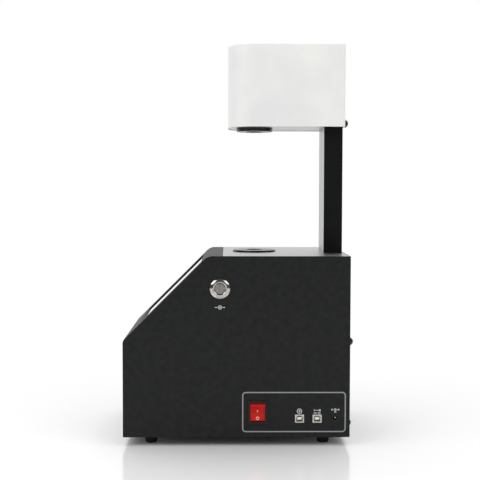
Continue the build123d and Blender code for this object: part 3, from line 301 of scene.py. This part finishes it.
@dataclass(frozen=True)
class TurnedMetal(Finish):
    """Metal faced on a lathe: concentric tool marks about one axis that spread a highlight into a fan."""

    darker: str = "8E8D8B"
    lighter: str = "A4A3A0"
    centre: tuple[float, float, float] = (0.0, 0.0, 0.0)
    along: tuple[float, float, float] = (0.0, 0.0, 0.0)
    # The wave texture turns once in 6.3 of its units, so the pitch of the marks is divided by that
    wave_units: float = 6.3
    patch: float = 3.0
    fine: float = 0.4
    depth: float = 0.01

    def dress(self, tree: bpy.types.NodeTree, shader: bpy.types.Node, place: bpy.types.NodeSocket) -> None:
        """Add the ring-shaped tool marks round the piece's axis."""
        centred = add_node(tree, "ShaderNodeMapping", {
            "Vector": place, "Location": [-c for c in self.centre]}, vector_type="POINT")
        turned = add_node(tree, "ShaderNodeMapping", {
            "Vector": centred.outputs["Vector"], "Rotation": [math.radians(a) for a in self.along]},
            vector_type="POINT")
        self.shades(tree, shader, place, self.patch, self.darker, self.lighter, detail=4.0)
        marks = add_node(tree, "ShaderNodeTexWave", {
            "Vector": turned.outputs["Vector"], "Scale": per_metre(self.fine) / self.wave_units,
            "Distortion": 0.6, "Detail": 2.0, "Detail Scale": 1.5},
            wave_type="RINGS", rings_direction="Z", wave_profile="SIN")
        self.relief(tree, shader, marks.outputs["Fac"])


@dataclass(frozen=True)
class ZincPlate(Finish):
    """Zinc plated steel: greyish metal with soft spangle and a rolled grain."""

    darker: str = "8C8F90"
    lighter: str = "B4B6B5"
    spangle: float = 5.0
    rolled_stretch: float = 0.06
    patch: float = 22.0
    fine: float = 0.8
    spread: float = 0.08
    depth: float = 0.008

    def dress(self, tree: bpy.types.NodeTree, shader: bpy.types.Node, place: bpy.types.NodeSocket) -> None:
        """Add the spangle and the grain along the sheet."""
        cells = add_node(tree, "ShaderNodeTexVoronoi", {"Vector": place, "Scale": per_metre(self.spangle)})
        tint = add_node(tree, "ShaderNodeSeparateColor", {"Color": cells.outputs["Color"]})
        self.shades(tree, shader, place, self.patch, self.darker, self.lighter)
        self.gloss(tree, shader, tint.outputs["Red"], self.spread, self.spread)
        stretched = add_node(tree, "ShaderNodeMapping", {
            "Vector": place, "Scale": (1.0, self.rolled_stretch, 1.0)})
        rolled = self.noise(tree, stretched.outputs["Vector"], self.fine, 2.0)
        self.relief(tree, shader, rolled)


@dataclass(frozen=True)
class MachinedSteel(Finish):
    """Cut and plated or blackened steel of screws, nuts and springs: small scratches and handling marks."""

    darker: str = "77797A"
    lighter: str = "9A9C9C"
    patch: float = 2.4
    fine: float = 1.4
    spread: float = 0.1

    def dress(self, tree: bpy.types.NodeTree, shader: bpy.types.Node, place: bpy.types.NodeSocket) -> None:
        """Add fine scratches and uneven plating."""
        self.shades(tree, shader, place, self.patch, self.darker, self.lighter, detail=5.0)
        scratch = self.noise(tree, place, self.fine, 8.0, 0.7)
        self.gloss(tree, shader, scratch, self.spread, self.spread)
        self.relief(tree, shader, scratch)


@dataclass(frozen=True)
class PolishedSteel(Finish):
    """Stainless steel polished on a wheel: mirror-like, with hairlines and faint finger grease."""

    darker: str = "B5B1AC"
    lighter: str = "C4C0BB"
    grease: float = 5.0
    patch: float = 6.0
    spread: float = 0.08
    depth: float = 0.0015

    def dress(self, tree: bpy.types.NodeTree, shader: bpy.types.Node, place: bpy.types.NodeSocket) -> None:
        """Add hairlines from polishing and a soft change of gloss."""
        self.shades(tree, shader, place, self.patch, self.darker, self.lighter)
        grease = self.noise(tree, place, self.grease, 4.0)
        self.gloss(tree, shader, grease, 0.0, self.spread)
        hair = self.noise(tree, place, self.fine, 2.0)
        self.relief(tree, shader, hair)


@dataclass(frozen=True)
class MouldedPlastic(Finish):
    """Injection moulded plastic: the tool's fine spark texture, softly uneven in gloss."""

    darker: str = "0E0E0F"
    lighter: str = "141415"
    patch: float = 11.0
    fine: float = 0.45
    smoother: float = 0.04
    depth: float = 0.008

    def dress(self, tree: bpy.types.NodeTree, shader: bpy.types.Node, place: bpy.types.NodeSocket) -> None:
        """Add the texture that the mould left and slow flow shades."""
        flow = self.shades(tree, shader, place, self.patch, self.darker, self.lighter)
        self.gloss(tree, shader, flow, self.smoother, self.spread)
        spark = self.noise(tree, place, self.fine, 2.0)
        self.relief(tree, shader, spark)


@dataclass(frozen=True)
class MouldedRubber(Finish):
    """Moulded nitrile rubber: matt, a little dusty, with a fine skin."""

    darker: str = "0B0B0B"
    lighter: str = "161616"
    patch: float = 4.0
    fine: float = 0.6
    spread: float = 0.08
    depth: float = 0.02

    def dress(self, tree: bpy.types.NodeTree, shader: bpy.types.Node, place: bpy.types.NodeSocket) -> None:
        """Add dust in soft patches and the skin's grain."""
        dust = self.shades(tree, shader, place, self.patch, self.darker, self.lighter, detail=5.0)
        self.gloss(tree, shader, dust, self.spread, self.spread)
        skin = self.noise(tree, place, self.fine, 3.0)
        self.relief(tree, shader, skin)


@dataclass(frozen=True)
class CoverGlass(Finish):
    """Float glass printed black on its back: a clear mirror-smooth face with a dark picture area."""

    picture: str = "0C1013"
    border: str = "040405"
    patch: float = 60.0
    smear: float = 30.0
    spread: float = 0.03

    def dress(self, tree: bpy.types.NodeTree, shader: bpy.types.Node, place: bpy.types.NodeSocket) -> None:
        """Let the colour wander in soft clouds between the black of the border print and the slightly lighter
        shade of the switched-off display, and let smears change the gloss.
        """
        self.shades(tree, shader, place, self.patch, self.border, self.picture)
        smear = self.noise(tree, place, self.smear, 3.0)
        self.gloss(tree, shader, smear, 0.0, self.spread)


@dataclass(frozen=True)
class SolderMask(Finish):
    """Glass-epoxy circuit board under green solder mask: tracks show as slightly raised lighter lines."""

    darker: str = "0B3A20"
    lighter: str = "17592F"
    track: float = 2.5
    track_share: float = 0.12
    depth: float = 0.03

    def dress(self, tree: bpy.types.NodeTree, shader: bpy.types.Node, place: bpy.types.NodeSocket) -> None:
        """Add the copper tracks under the mask."""
        tracks = add_node(tree, "ShaderNodeTexBrick", {
            "Vector": place, "Scale": per_metre(self.track), "Color1": hex_colour(self.darker),
            "Color2": hex_colour(self.darker), "Mortar": hex_colour(self.lighter),
            "Mortar Size": self.track_share, "Brick Width": 3.0, "Row Height": 1.0})
        tree.links.new(tracks.outputs["Color"], shader.inputs["Base Color"])
        self.relief(tree, shader, tracks.outputs["Fac"])


@dataclass(frozen=True)
class MattCoating(Finish):
    """Barium sulphate coating in a binder: chalk white and quite matt."""

    darker: str = "EDEDE8"
    lighter: str = "F6F6F2"
    patch: float = 14.0
    fine: float = 0.9
    depth: float = 0.05

    def dress(self, tree: bpy.types.NodeTree, shader: bpy.types.Node, place: bpy.types.NodeSocket) -> None:
        """Add the chalky grain."""
        self.shades(tree, shader, place, self.patch, self.darker, self.lighter)
        chalk = self.noise(tree, place, self.fine, 6.0)
        self.relief(tree, shader, chalk)


@dataclass(frozen=True)
class OpticalGlass(Finish):
    """Ground and polished optical glass with a faint coating tint."""

    lighter: str = "C9D6EA"
    patch: float = 25.0
    clear: float = 0.85
    refraction: float = 1.52

    def dress(self, tree: bpy.types.NodeTree, shader: bpy.types.Node, place: bpy.types.NodeSocket) -> None:
        """Make it see-through, with the coating's tint in soft patches."""
        self.shades(tree, shader, place, self.patch, self.colour, self.lighter)
        shader.inputs["Transmission Weight"].default_value = self.clear
        shader.inputs["IOR"].default_value = self.refraction


@dataclass(frozen=True)
class PrintedInk(Finish):
    """Screen printing ink: flat and slightly chalky, with the coat's grain showing through."""

    darker: str = "B9BABC"
    lighter: str = "CFD0D1"
    patch: float = 1.2
    fine: float = 1.1
    depth: float = 0.02

    def dress(self, tree: bpy.types.NodeTree, shader: bpy.types.Node, place: bpy.types.NodeSocket) -> None:
        """Add the thin spots of the print."""
        self.shades(tree, shader, place, self.patch, self.darker, self.lighter, detail=4.0)
        grain = self.noise(tree, place, self.fine, 3.0)
        self.relief(tree, shader, grain)


# Finishes of this instrument

HOUSING_COAT = PowderCoat("black_powder_coat", "141516", roughness=0.5, specular=0.28)
HEAD_PAINT = SprayedPaint("white_sprayed_paint", "EAEBE6", roughness=0.38, specular=0.4)
SATIN_PLATE = Anodised("satin_anodised_aluminium", "B0B1B3", roughness=0.34, metallic=1.0)
BLACK_ANODISED = Anodised("black_anodised_aluminium", "151617", roughness=0.26, specular=0.6,
                          darker="0C0D0E", lighter="121314")
COLUMN_BLACK = Anodised("matt_black_anodised_aluminium", "0B0C0C", roughness=0.5, specular=0.16,
                        darker="0A0B0C", lighter="0E0F10")
ZINC_SHEET = ZincPlate("zinc_plated_sheet", "A2A4A4", roughness=0.38, metallic=1.0)
ZINC_STEEL = MachinedSteel("zinc_plated_fastener", "9A9C9C", roughness=0.34, metallic=1.0)
BLACK_STEEL = MachinedSteel("black_oxide_steel", "0B0B0C", roughness=0.32, darker="080808", lighter="101011")
BEZEL_STEEL = PolishedSteel("polished_stainless_steel", "C0BDB8", roughness=0.08, metallic=1.0)
SPRING_STEEL = MachinedSteel("drawn_spring_wire", "8A8B8C", roughness=0.28, metallic=1.0)
RUBBER = MouldedRubber("moulded_rubber", "101010", roughness=0.72, specular=0.35)
COVER_GLASS = CoverGlass("printed_cover_glass", "060708", roughness=0.02, coat=1.0, coat_roughness=0.01)
LCD_METAL = Anodised("display_frame_steel", "6E7072", roughness=0.4, metallic=1.0, darker="66686A",
                     lighter="76787A")
BOARD = SolderMask("green_solder_mask", "114A28", roughness=0.4, coat=0.3)
EPOXY = MouldedPlastic("moulded_epoxy", "17181A", roughness=0.5, darker="131416", lighter="1C1D1F")
SPHERE_COAT = MattCoating("barium_sulphate_coat", "F2F2EE", roughness=0.9, specular=0.2)
FILTER_GLASS = OpticalGlass("green_filter_glass", "6FA87A", roughness=0.03, lighter="7DB588")
LENS_GLASS = OpticalGlass("coated_lens_glass", "DCE6F2", roughness=0.01)
TIN_SHELL = MachinedSteel("tinned_brass_shell", "D6D3C8", roughness=0.3, metallic=1.0, darker="C9C5B8",
                          lighter="E2DFD4")
WHITE_PLASTIC = MouldedPlastic("white_polyamide", "F0F0EC", roughness=0.35, darker="E6E6E1", lighter="F4F4F0")
INLET_PIN = MachinedSteel("tinned_pin", "B9B8B4", roughness=0.35, metallic=1.0, darker="A9A8A4",
                          lighter="C4C3BF")
BRASS = MachinedSteel("plated_brass", "D9C48A", roughness=0.25, metallic=1.0, darker="C9B274",
                      lighter="E3D09B")
SWITCH_BLACK = MouldedPlastic("black_polyamide", "121213", roughness=0.42, specular=0.4)
ROCKER_RED = MouldedPlastic("red_polycarbonate", "C0180F", roughness=0.42, specular=0.2, darker="B4100A",
                            lighter="C41C12", fine=0.6, depth=0.004)
RAW_ALUMINIUM = ZincPlate("extruded_aluminium", "B4B5B7", roughness=0.35, metallic=1.0, darker="A6A7AA",
                          lighter="BEBFC1")
PRINT = PrintedInk("white_printing_ink", "C4C5C6", roughness=0.6)
LINE_PRINT = PrintedInk("grey_printing_ink", "8F9092", roughness=0.6, darker="86878A", lighter="98999B")
MARK_PRINT = PrintedInk("switch_marking_ink", "F2D9D4", roughness=0.5, darker="EACCC6", lighter="F7E2DE")

NODE_FINISHES: dict[str, Finish] = {
    "main_housing": HOUSING_COAT, "top_plate": SATIN_PLATE, "top_plate_screws": ZINC_STEEL,
    "rear_panel": HOUSING_COAT, "rear_screws": BLACK_STEEL, "rear_washers": BLACK_STEEL,
    "bottom_plate": HOUSING_COAT, "bottom_plate_screws": ZINC_STEEL, "rubber_feet": RUBBER,
    "foot_screws": ZINC_STEEL, "foot_nuts": ZINC_STEEL, "display_glass": COVER_GLASS,
    "display_gasket": RUBBER, "lcd_module": LCD_METAL, "display_board": BOARD, "display_posts": ZINC_STEEL,
    "display_screws": ZINC_STEEL, "port_ring": BLACK_ANODISED, "sphere_upper_half": SPHERE_COAT,
    "sphere_lower_half": SPHERE_COAT, "sphere_screws": ZINC_STEEL, "sphere_pillars": ZINC_STEEL,
    "light_trap": BLACK_ANODISED, "detector_housing": BLACK_ANODISED, "detector_filter": FILTER_GLASS,
    "detector_board": BOARD, "main_board": BOARD, "board_components": EPOXY, "board_posts": ZINC_STEEL,
    "connector_board": BOARD, "usb_shells": TIN_SHELL, "usb_tongues": WHITE_PLASTIC,
    "dc_inlet": SWITCH_BLACK, "dc_pin": INLET_PIN, "button_gasket": RUBBER, "button_bezel": BEZEL_STEEL,
    "button_spring": SPRING_STEEL, "button_nut": ZINC_STEEL, "contact_block": EPOXY, "rocker": ROCKER_RED,
    "rocker_frame": SWITCH_BLACK, "rocker_terminals": BRASS, "column_channel": COLUMN_BLACK,
    "column_cover": SATIN_PLATE, "base_bracket": ZINC_SHEET, "head_bracket": ZINC_SHEET,
    "bracket_screws": ZINC_STEEL, "column_screws": ZINC_STEEL, "lamp_lead": RUBBER,
    "board_screws": ZINC_STEEL, "internal_leads": RUBBER,
    "head_shell": HEAD_PAINT, "head_bottom_plate": SATIN_PLATE, "lens_ring": BLACK_ANODISED,
    "collimator_tube": BLACK_ANODISED, "collimator_lens": LENS_GLASS, "lens_retainer": BLACK_ANODISED,
    "led_board": RAW_ALUMINIUM, "heat_sink": RAW_ALUMINIUM,
}


def dress_node(node: bpy.types.Object, finish: Finish) -> None:
    """Give a CAD node its finish in every material slot.

    Args:
        node: The node's object.
        finish: Finish that it gets.
    """
    for slot in node.material_slots:
        slot.material = finish.material()
    if not node.material_slots:
        node.data.materials.append(finish.material())


# Mesh helpers


def deselect() -> None:
    """Leave edit mode and deselect everything."""
    if bpy.context.object and bpy.context.object.mode != "OBJECT":
        bpy.ops.object.mode_set(mode="OBJECT")
    bpy.ops.object.select_all(action="DESELECT")


def settle(piece: bpy.types.Object, name: str, finish: Finish, body: Body) -> bpy.types.Object:
    """Finish a new piece: its place goes into its mesh, then it gets name, finish, slot and body.

    Args:
        piece: Mesh object, in place.
        name: Name of the piece.
        finish: Finish of the whole piece.
        body: Body that it rides on.

    Returns:
        The piece.
    """
    deselect()
    piece.select_set(True)
    bpy.context.view_layer.objects.active = piece
    bpy.ops.object.transform_apply(location=True, rotation=True, scale=True)
    piece.name = name
    piece.data.name = name
    piece.data.materials.clear()
    piece.data.materials.append(finish.material())
    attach(piece, body.value)
    deselect()
    LOG.info("%s: %d faces on %s", name, len(piece.data.polygons), body.value)
    return piece


# Printed marks


def joint_place(record: dict, name: str) -> Vector:
    """Find where a hinge turns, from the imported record.

    Args:
        record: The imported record.
        name: Name of the joint.

    Returns:
        Its place in metres.
    """
    joints = record["behaviour"]["joints"]
    return Vector(next(joint["pos_m"] for joint in joints if joint["name"] == name))


@dataclass
class Printing:
    """White marks screen printed on the side wall and on the rocker, as thin films of ink.

    Sizes are in millimetres. Marks on the wall are placed from the socket, inlet or button they belong to.
    """

    hinge: Vector
    film: float = 0.06
    sides: int = 48
    stroke: float = 0.9
    # Outline round the switch and the sockets, from the front socket
    line: float = 1.6
    corner: float = 5.0
    corner_steps: int = 8
    outline_front: float = 76.4
    outline_back: float = 61.7
    outline_below: float = 12.8
    outline_above: float = 30.4
    # Marks over the two sockets
    socket_half: float = 6.0
    socket_mark_up: float = 4.5
    service_ring: float = 3.5
    service_diamond: float = 1.7
    link_rise: float = 1.2
    link_bar: float = 6.0
    link_reach: float = 3.4
    link_arrow: float = 1.7
    link_dot: float = 1.5
    dash_drop: float = 2.4
    dash_reach: float = 2.6
    dash: tuple[float, float] = (4.0, 1.2)
    # Mark over the inlet
    inlet_mark_up: float = 5.8
    inlet_bar: tuple[float, float] = (9.0, 0.7)
    inlet_dot: float = 1.7
    inlet_end: float = 1.2
    inlet_reach: float = 4.3
    inlet_dash_drop: float = 3.2
    inlet_dash: tuple[float, float] = (3.2, 1.1)
    # Mark under the push button
    button_mark_down: float = 24.9
    button_ring: float = 2.7
    button_dot: float = 0.9
    button_reach: float = 5.0
    button_dash: float = 3.4
    # Marks on the rocker, from its hinge
    rocker_face: float = 5.0
    rocker_travel: float = 22.0
    on_up: float = 3.4
    on_bar: tuple[float, float] = (0.8, 3.4)
    off_down: float = 6.6
    off_ring: tuple[float, float] = (2.1, 1.4)

    def lay(self, place: Vector, lean: float = 0.0) -> bpy.types.Object:
        """Turn the active flat shape to face outwards, lean it and put it in place, thick as the ink.

        Args:
            place: Where its middle goes, in metres.
            lean: Degrees that its top leans outwards.

        Returns:
            The shape.
        """
        shape = bpy.context.object
        bpy.ops.object.mode_set(mode="EDIT")
        bpy.ops.mesh.select_all(action="SELECT")
        bpy.ops.mesh.extrude_region_move(TRANSFORM_OT_translate={"value": (0, 0, self.film * MM)})
        bpy.ops.mesh.select_all(action="SELECT")
        bpy.ops.mesh.normals_make_consistent(inside=False)
        bpy.ops.object.mode_set(mode="OBJECT")
        shape.rotation_euler = (0, math.radians(90 + lean), 0)
        shape.location = place
        return shape

    def bar(self, place: Vector, width: float, height: float, lean: float = 0.0) -> bpy.types.Object:
        """Print a straight bar.

        Args:
            place: Its middle, in metres.
            width: Size along Y in millimetres.
            height: Size along Z in millimetres.
            lean: Degrees that its top leans outwards.

        Returns:
            The bar.
        """
        deselect()
        bpy.ops.mesh.primitive_plane_add(size=MM)
        bpy.context.object.scale = (height, width, 1)
        bpy.ops.object.transform_apply(location=False, rotation=False, scale=True)
        return self.lay(place, lean)

    def disc(self, place: Vector, radius: float, hole: float = 0.0, sides: int = 0,
             lean: float = 0.0) -> bpy.types.Object:
        """Print a disc, a ring or a regular polygon.

        Args:
            place: Its middle, in metres.
            radius: Outer radius in millimetres.
            hole: Radius of the open middle in millimetres.
            sides: Number of sides, or 0 for a round one.
            lean: Degrees that its top leans outwards.

        Returns:
            The shape.
        """
        deselect()
        bpy.ops.mesh.primitive_circle_add(vertices=sides or self.sides, radius=radius * MM, fill_type="NGON")
        if hole:
            bpy.ops.object.mode_set(mode="EDIT")
            bpy.ops.mesh.select_all(action="SELECT")
            bpy.ops.mesh.inset(thickness=(radius - hole) * MM)
            bpy.ops.mesh.delete(type="FACE")
            bpy.ops.object.mode_set(mode="OBJECT")
        return self.lay(place, lean)

    def frame(self, low: Vector, high: Vector) -> bpy.types.Object:
        """Print the rounded outline round the switch and the sockets.

        Args:
            low: Lower front corner, in metres.
            high: Upper back corner, in metres.

        Returns:
            The outline.
        """
        deselect()
        bpy.ops.mesh.primitive_plane_add(size=1)
        bpy.context.object.scale = (high.z - low.z, high.y - low.y, 1)
        bpy.ops.object.transform_apply(location=False, rotation=False, scale=True)
        bpy.ops.object.mode_set(mode="EDIT")
        bpy.ops.mesh.select_all(action="SELECT")
        bpy.ops.mesh.bevel(offset=self.corner * MM, segments=self.corner_steps, affect="VERTICES")
        bpy.ops.mesh.select_all(action="SELECT")
        bpy.ops.mesh.inset(thickness=self.line * MM)
        bpy.ops.mesh.delete(type="FACE")
        bpy.ops.object.mode_set(mode="OBJECT")
        return self.lay((low + high) / 2)

    def join(self, shapes: list[bpy.types.Object]) -> bpy.types.Object:
        """Join printed shapes into one piece.

        Args:
            shapes: Shapes of one mark.

        Returns:
            The piece.
        """
        deselect()
        for shape in shapes:
            shape.select_set(True)
        bpy.context.view_layer.objects.active = shapes[0]
        bpy.ops.object.join()
        return bpy.context.object

    def spot(self, y: float, z: float) -> Vector:
        """Point on the side wall, with y and z in metres."""
        return Vector((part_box("main_housing")[1][0], y, z))

    def twins(self, y: float, z: float, reach: float) -> list[Vector]:
        """Two points on the side wall, reach millimetres in front of y and behind it."""
        return [self.spot(y - reach * MM, z), self.spot(y + reach * MM, z)]

    def panel(self) -> None:
        """Print the outline and the pictograms over the two sockets."""
        low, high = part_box("usb_shells")
        front, back = low[1] + self.socket_half * MM, high[1] - self.socket_half * MM
        bottom, top = low[2], high[2]
        outline = self.frame(self.spot(front - self.outline_front * MM, bottom - self.outline_below * MM),
                             self.spot(front + self.outline_back * MM, top + self.outline_above * MM))
        settle(outline, "panel_outline_print", LINE_PRINT, Body.BASE)

        level = top + self.socket_mark_up * MM
        service = self.join([
            self.disc(self.spot(front, level), self.service_ring, self.service_ring - self.stroke),
            self.disc(self.spot(front, level), self.service_diamond, sides=4)])
        settle(service, "service_socket_print", PRINT, Body.BASE)

        line = level + self.link_rise * MM
        arrow, dot = self.twins(back, line, self.link_reach)
        link = [self.bar(self.spot(back, line), self.link_bar, self.stroke),
                self.disc(arrow, self.link_arrow, sides=3), self.disc(dot, self.link_dot)]
        link += [self.bar(place, *self.dash)
                 for place in self.twins(back, level - self.dash_drop * MM, self.dash_reach)]
        settle(self.join(link), "data_socket_print", PRINT, Body.BASE)

    def inlet(self) -> None:
        """Print the pictogram over the power inlet."""
        low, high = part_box("dc_inlet")
        middle, level = (low[1] + high[1]) / 2, high[2] + self.inlet_mark_up * MM
        supply = [self.bar(self.spot(middle, level), *self.inlet_bar),
                  self.disc(self.spot(middle, level), self.inlet_dot)]
        supply += [self.disc(place, self.inlet_end) for place in self.twins(middle, level, self.inlet_reach)]
        supply.append(self.bar(self.spot(middle, level - self.inlet_dash_drop * MM), *self.inlet_dash))
        settle(self.join(supply), "power_inlet_print", PRINT, Body.BASE)

    def button(self) -> None:
        """Print the pictogram under the push button."""
        low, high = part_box("button_bezel")
        middle, level = (low[1] + high[1]) / 2, (low[2] + high[2]) / 2 - self.button_mark_down * MM
        measure = [self.disc(self.spot(middle, level), self.button_ring, self.button_ring - self.stroke),
                   self.disc(self.spot(middle, level), self.button_dot)]
        measure += [self.bar(place, self.button_dash, self.stroke)
                    for place in self.twins(middle, level, self.button_reach)]
        settle(self.join(measure), "measure_button_print", PRINT, Body.BASE)

    def rocker(self) -> None:
        """Print the marks for on and off on the rocker's two faces."""
        lean = math.radians(self.rocker_travel)
        face = self.hinge.x + self.rocker_face * MM
        valley = self.hinge.z - self.rocker_face * MM * math.tan(lean / 2)
        up = self.on_up * MM
        on_place = Vector((face + up * math.sin(lean), self.hinge.y, valley + up * math.cos(lean)))
        on_mark = self.bar(on_place, *self.on_bar, lean=self.rocker_travel)
        settle(on_mark, "switch_on_print", MARK_PRINT, Body.ROCKER)
        off_mark = self.disc(Vector((face, self.hinge.y, valley - self.off_down * MM)), *self.off_ring)
        settle(off_mark, "switch_off_print", MARK_PRINT, Body.ROCKER)

    def build(self) -> None:
        """Print all the marks."""
        self.panel()
        self.inlet()
        self.button()
        self.rocker()


# Camera and studio


@dataclass
class PhotoCamera:
    """Camera that stands where the photograph was taken from, level with the sample gap."""

    place: tuple[float, float, float] = (1383.9, -12.0, 338.8)
    yaw: float = 0.0128
    pitch: float = 0.05
    roll: float = 0.002
    lens: float = 72.75
    sensor: float = 36.0

    def build(self) -> bpy.types.Object:
        """Make the camera and set it as the scene's.

        Returns:
            The camera object.
        """
        right, up, ahead = Vector((0, 1, 0)), Vector((0, 0, 1)), Vector((-1, 0, 0))
        right, ahead = (math.cos(self.yaw) * right - math.sin(self.yaw) * ahead,
                        math.sin(self.yaw) * right + math.cos(self.yaw) * ahead)
        ahead, up = (math.cos(self.pitch) * ahead - math.sin(self.pitch) * up,
                     math.sin(self.pitch) * ahead + math.cos(self.pitch) * up)
        right, up = (math.cos(self.roll) * right + math.sin(self.roll) * up,
                     math.cos(self.roll) * up - math.sin(self.roll) * right)
        data = bpy.data.cameras.new("photo_camera")
        data.lens, data.sensor_width = self.lens, self.sensor
        camera = bpy.data.objects.new("photo_camera", data)
        bpy.context.scene.collection.objects.link(camera)
        axes = Matrix((right, up, -ahead)).transposed().to_4x4()
        camera.matrix_world = Matrix.Translation(Vector(self.place) * MM) @ axes
        bpy.context.scene.camera = camera
        return camera


@dataclass(frozen=True)
class SoftBox:
    """One soft box: its name, where it hangs and its size in metres, and its power in watts."""

    name: str
    place: tuple[float, float, float]
    size: tuple[float, float]
    power: float


@dataclass
class Studio:
    """White table and backdrop with soft boxes, as for a catalogue picture."""

    floor_size: float = 6.0
    floor_colour: str = "FAFAFA"
    floor_gloss: float = 0.3
    floor_roughness: float = 0.16
    near_radius: float = 0.08
    far_radius: float = 0.7
    ambient: float = 0.56
    side_dark: float = 0.1
    middle: tuple[float, float, float] = (0.0, 0.0, 0.3)
    boxes: tuple[SoftBox, ...] = (
        SoftBox("left_box", (1.1, -1.6, 1.5), (2.0, 1.2), 18.0),
        SoftBox("right_box", (1.1, 1.6, 1.5), (2.0, 1.2), 14.0),
        SoftBox("top_box", (-0.4, 0.0, 2.2), (1.4, 1.4), 16.0),
    )

    def floor(self) -> bpy.types.Object:
        """Make the pale table top, which fades into the white background away from the object.

        Returns:
            The floor.
        """
        deselect()
        bpy.ops.mesh.primitive_plane_add(size=self.floor_size, location=(0, 0, 0))
        floor = bpy.context.object
        floor.name = "studio_floor"
        made = bpy.data.materials.new("white_table")
        made.use_nodes = True
        tree = made.node_tree
        tree.nodes.clear()
        place = add_node(tree, "ShaderNodeTexCoord").outputs["Object"]
        reach = add_node(tree, "ShaderNodeVectorMath", {0: place}, operation="LENGTH")
        fade = add_node(tree, "ShaderNodeMapRange", {
            "Value": reach.outputs["Value"], "From Min": self.near_radius, "From Max": self.far_radius},
            interpolation_type="SMOOTHSTEP")
        matt = add_node(tree, "ShaderNodeBsdfDiffuse", {"Color": hex_colour(self.floor_colour)})
        sheen = add_node(tree, "ShaderNodeBsdfGlossy", {
            "Color": (1, 1, 1, 1), "Roughness": self.floor_roughness})
        table = add_node(tree, "ShaderNodeMixShader", {
            0: self.floor_gloss, 1: matt.outputs["BSDF"], 2: sheen.outputs["BSDF"]})
        white = add_node(tree, "ShaderNodeEmission", {"Color": (1, 1, 1, 1), "Strength": 1.0})
        blended = add_node(tree, "ShaderNodeMixShader", {
            0: fade.outputs["Result"], 1: table.outputs["Shader"], 2: white.outputs["Emission"]})
        add_node(tree, "ShaderNodeOutputMaterial", {"Surface": blended.outputs["Shader"]})
        floor.data.materials.append(made)
        return floor

    def world(self) -> None:
        """Make the surroundings: white to the eye, dim at the sides in reflections, soft on matt surfaces."""
        world = bpy.data.worlds.new("studio_world")
        world.use_nodes = True
        bpy.context.scene.world = world
        tree = world.node_tree
        tree.nodes.clear()
        way = add_node(tree, "ShaderNodeTexCoord").outputs["Generated"]
        split = add_node(tree, "ShaderNodeSeparateXYZ", {0: way})
        backdrop = add_node(tree, "ShaderNodeMapRange", {
            "Value": split.outputs["X"], "From Min": -0.1, "From Max": -0.7, "To Min": self.side_dark,
            "To Max": 1.0}, interpolation_type="SMOOTHSTEP")
        path = add_node(tree, "ShaderNodeLightPath")
        mirrored = add_node(tree, "ShaderNodeMath", {
            0: path.outputs["Is Glossy Ray"], 1: path.outputs["Is Transmission Ray"]}, operation="MAXIMUM")
        level = add_node(tree, "ShaderNodeMix", {
            0: mirrored.outputs["Value"], 2: self.ambient, 3: backdrop.outputs["Result"]}, data_type="FLOAT")
        seen = add_node(tree, "ShaderNodeMix", {
            0: path.outputs["Is Camera Ray"], 2: level.outputs[0], 3: 1.0}, data_type="FLOAT")
        light = add_node(tree, "ShaderNodeBackground", {"Color": (1, 1, 1, 1), "Strength": seen.outputs[0]})
        add_node(tree, "ShaderNodeOutputWorld", {"Surface": light.outputs["Background"]})

    def hang(self, box: SoftBox) -> None:
        """Hang one soft box so that it faces the middle of the object.

        Args:
            box: The soft box.
        """
        data = bpy.data.lights.new(box.name, "AREA")
        data.shape, data.energy = "RECTANGLE", box.power
        data.size, data.size_y = box.size
        lamp = bpy.data.objects.new(box.name, data)
        bpy.context.scene.collection.objects.link(lamp)
        lamp.location = box.place
        lamp.rotation_mode = "QUATERNION"
        lamp.rotation_quaternion = (Vector(self.middle) - Vector(box.place)).to_track_quat("-Z", "Y")

    def build(self) -> None:
        """Set up table, surroundings, soft boxes and the plain view transform."""
        self.floor()
        self.world()
        for box in self.boxes:
            self.hang(box)
        bpy.context.scene.view_settings.view_transform = "Standard"


def main() -> None:
    """Build the dressed instrument, the studio and the camera."""
    logging.basicConfig(level=logging.INFO, format="%(name)s %(message)s")
    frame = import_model()
    PhotoCamera().build()
    Studio().build()
    cap = TurnedMetal("spun_stainless_steel", "9B9894", roughness=0.22, metallic=1.0,
                      centre=tuple((a + b) / 2 for a, b in zip(*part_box("button_cap"))), along=(0, 90, 0))
    for name, node in frame["nodes"].items():
        dress_node(node, NODE_FINISHES.get(name, cap))
        LOG.info("%s: CAD node", name)
    Printing(hinge=joint_place(frame["record"], "rocker_tilt")).build()


if __name__ == "__main__":
    main()
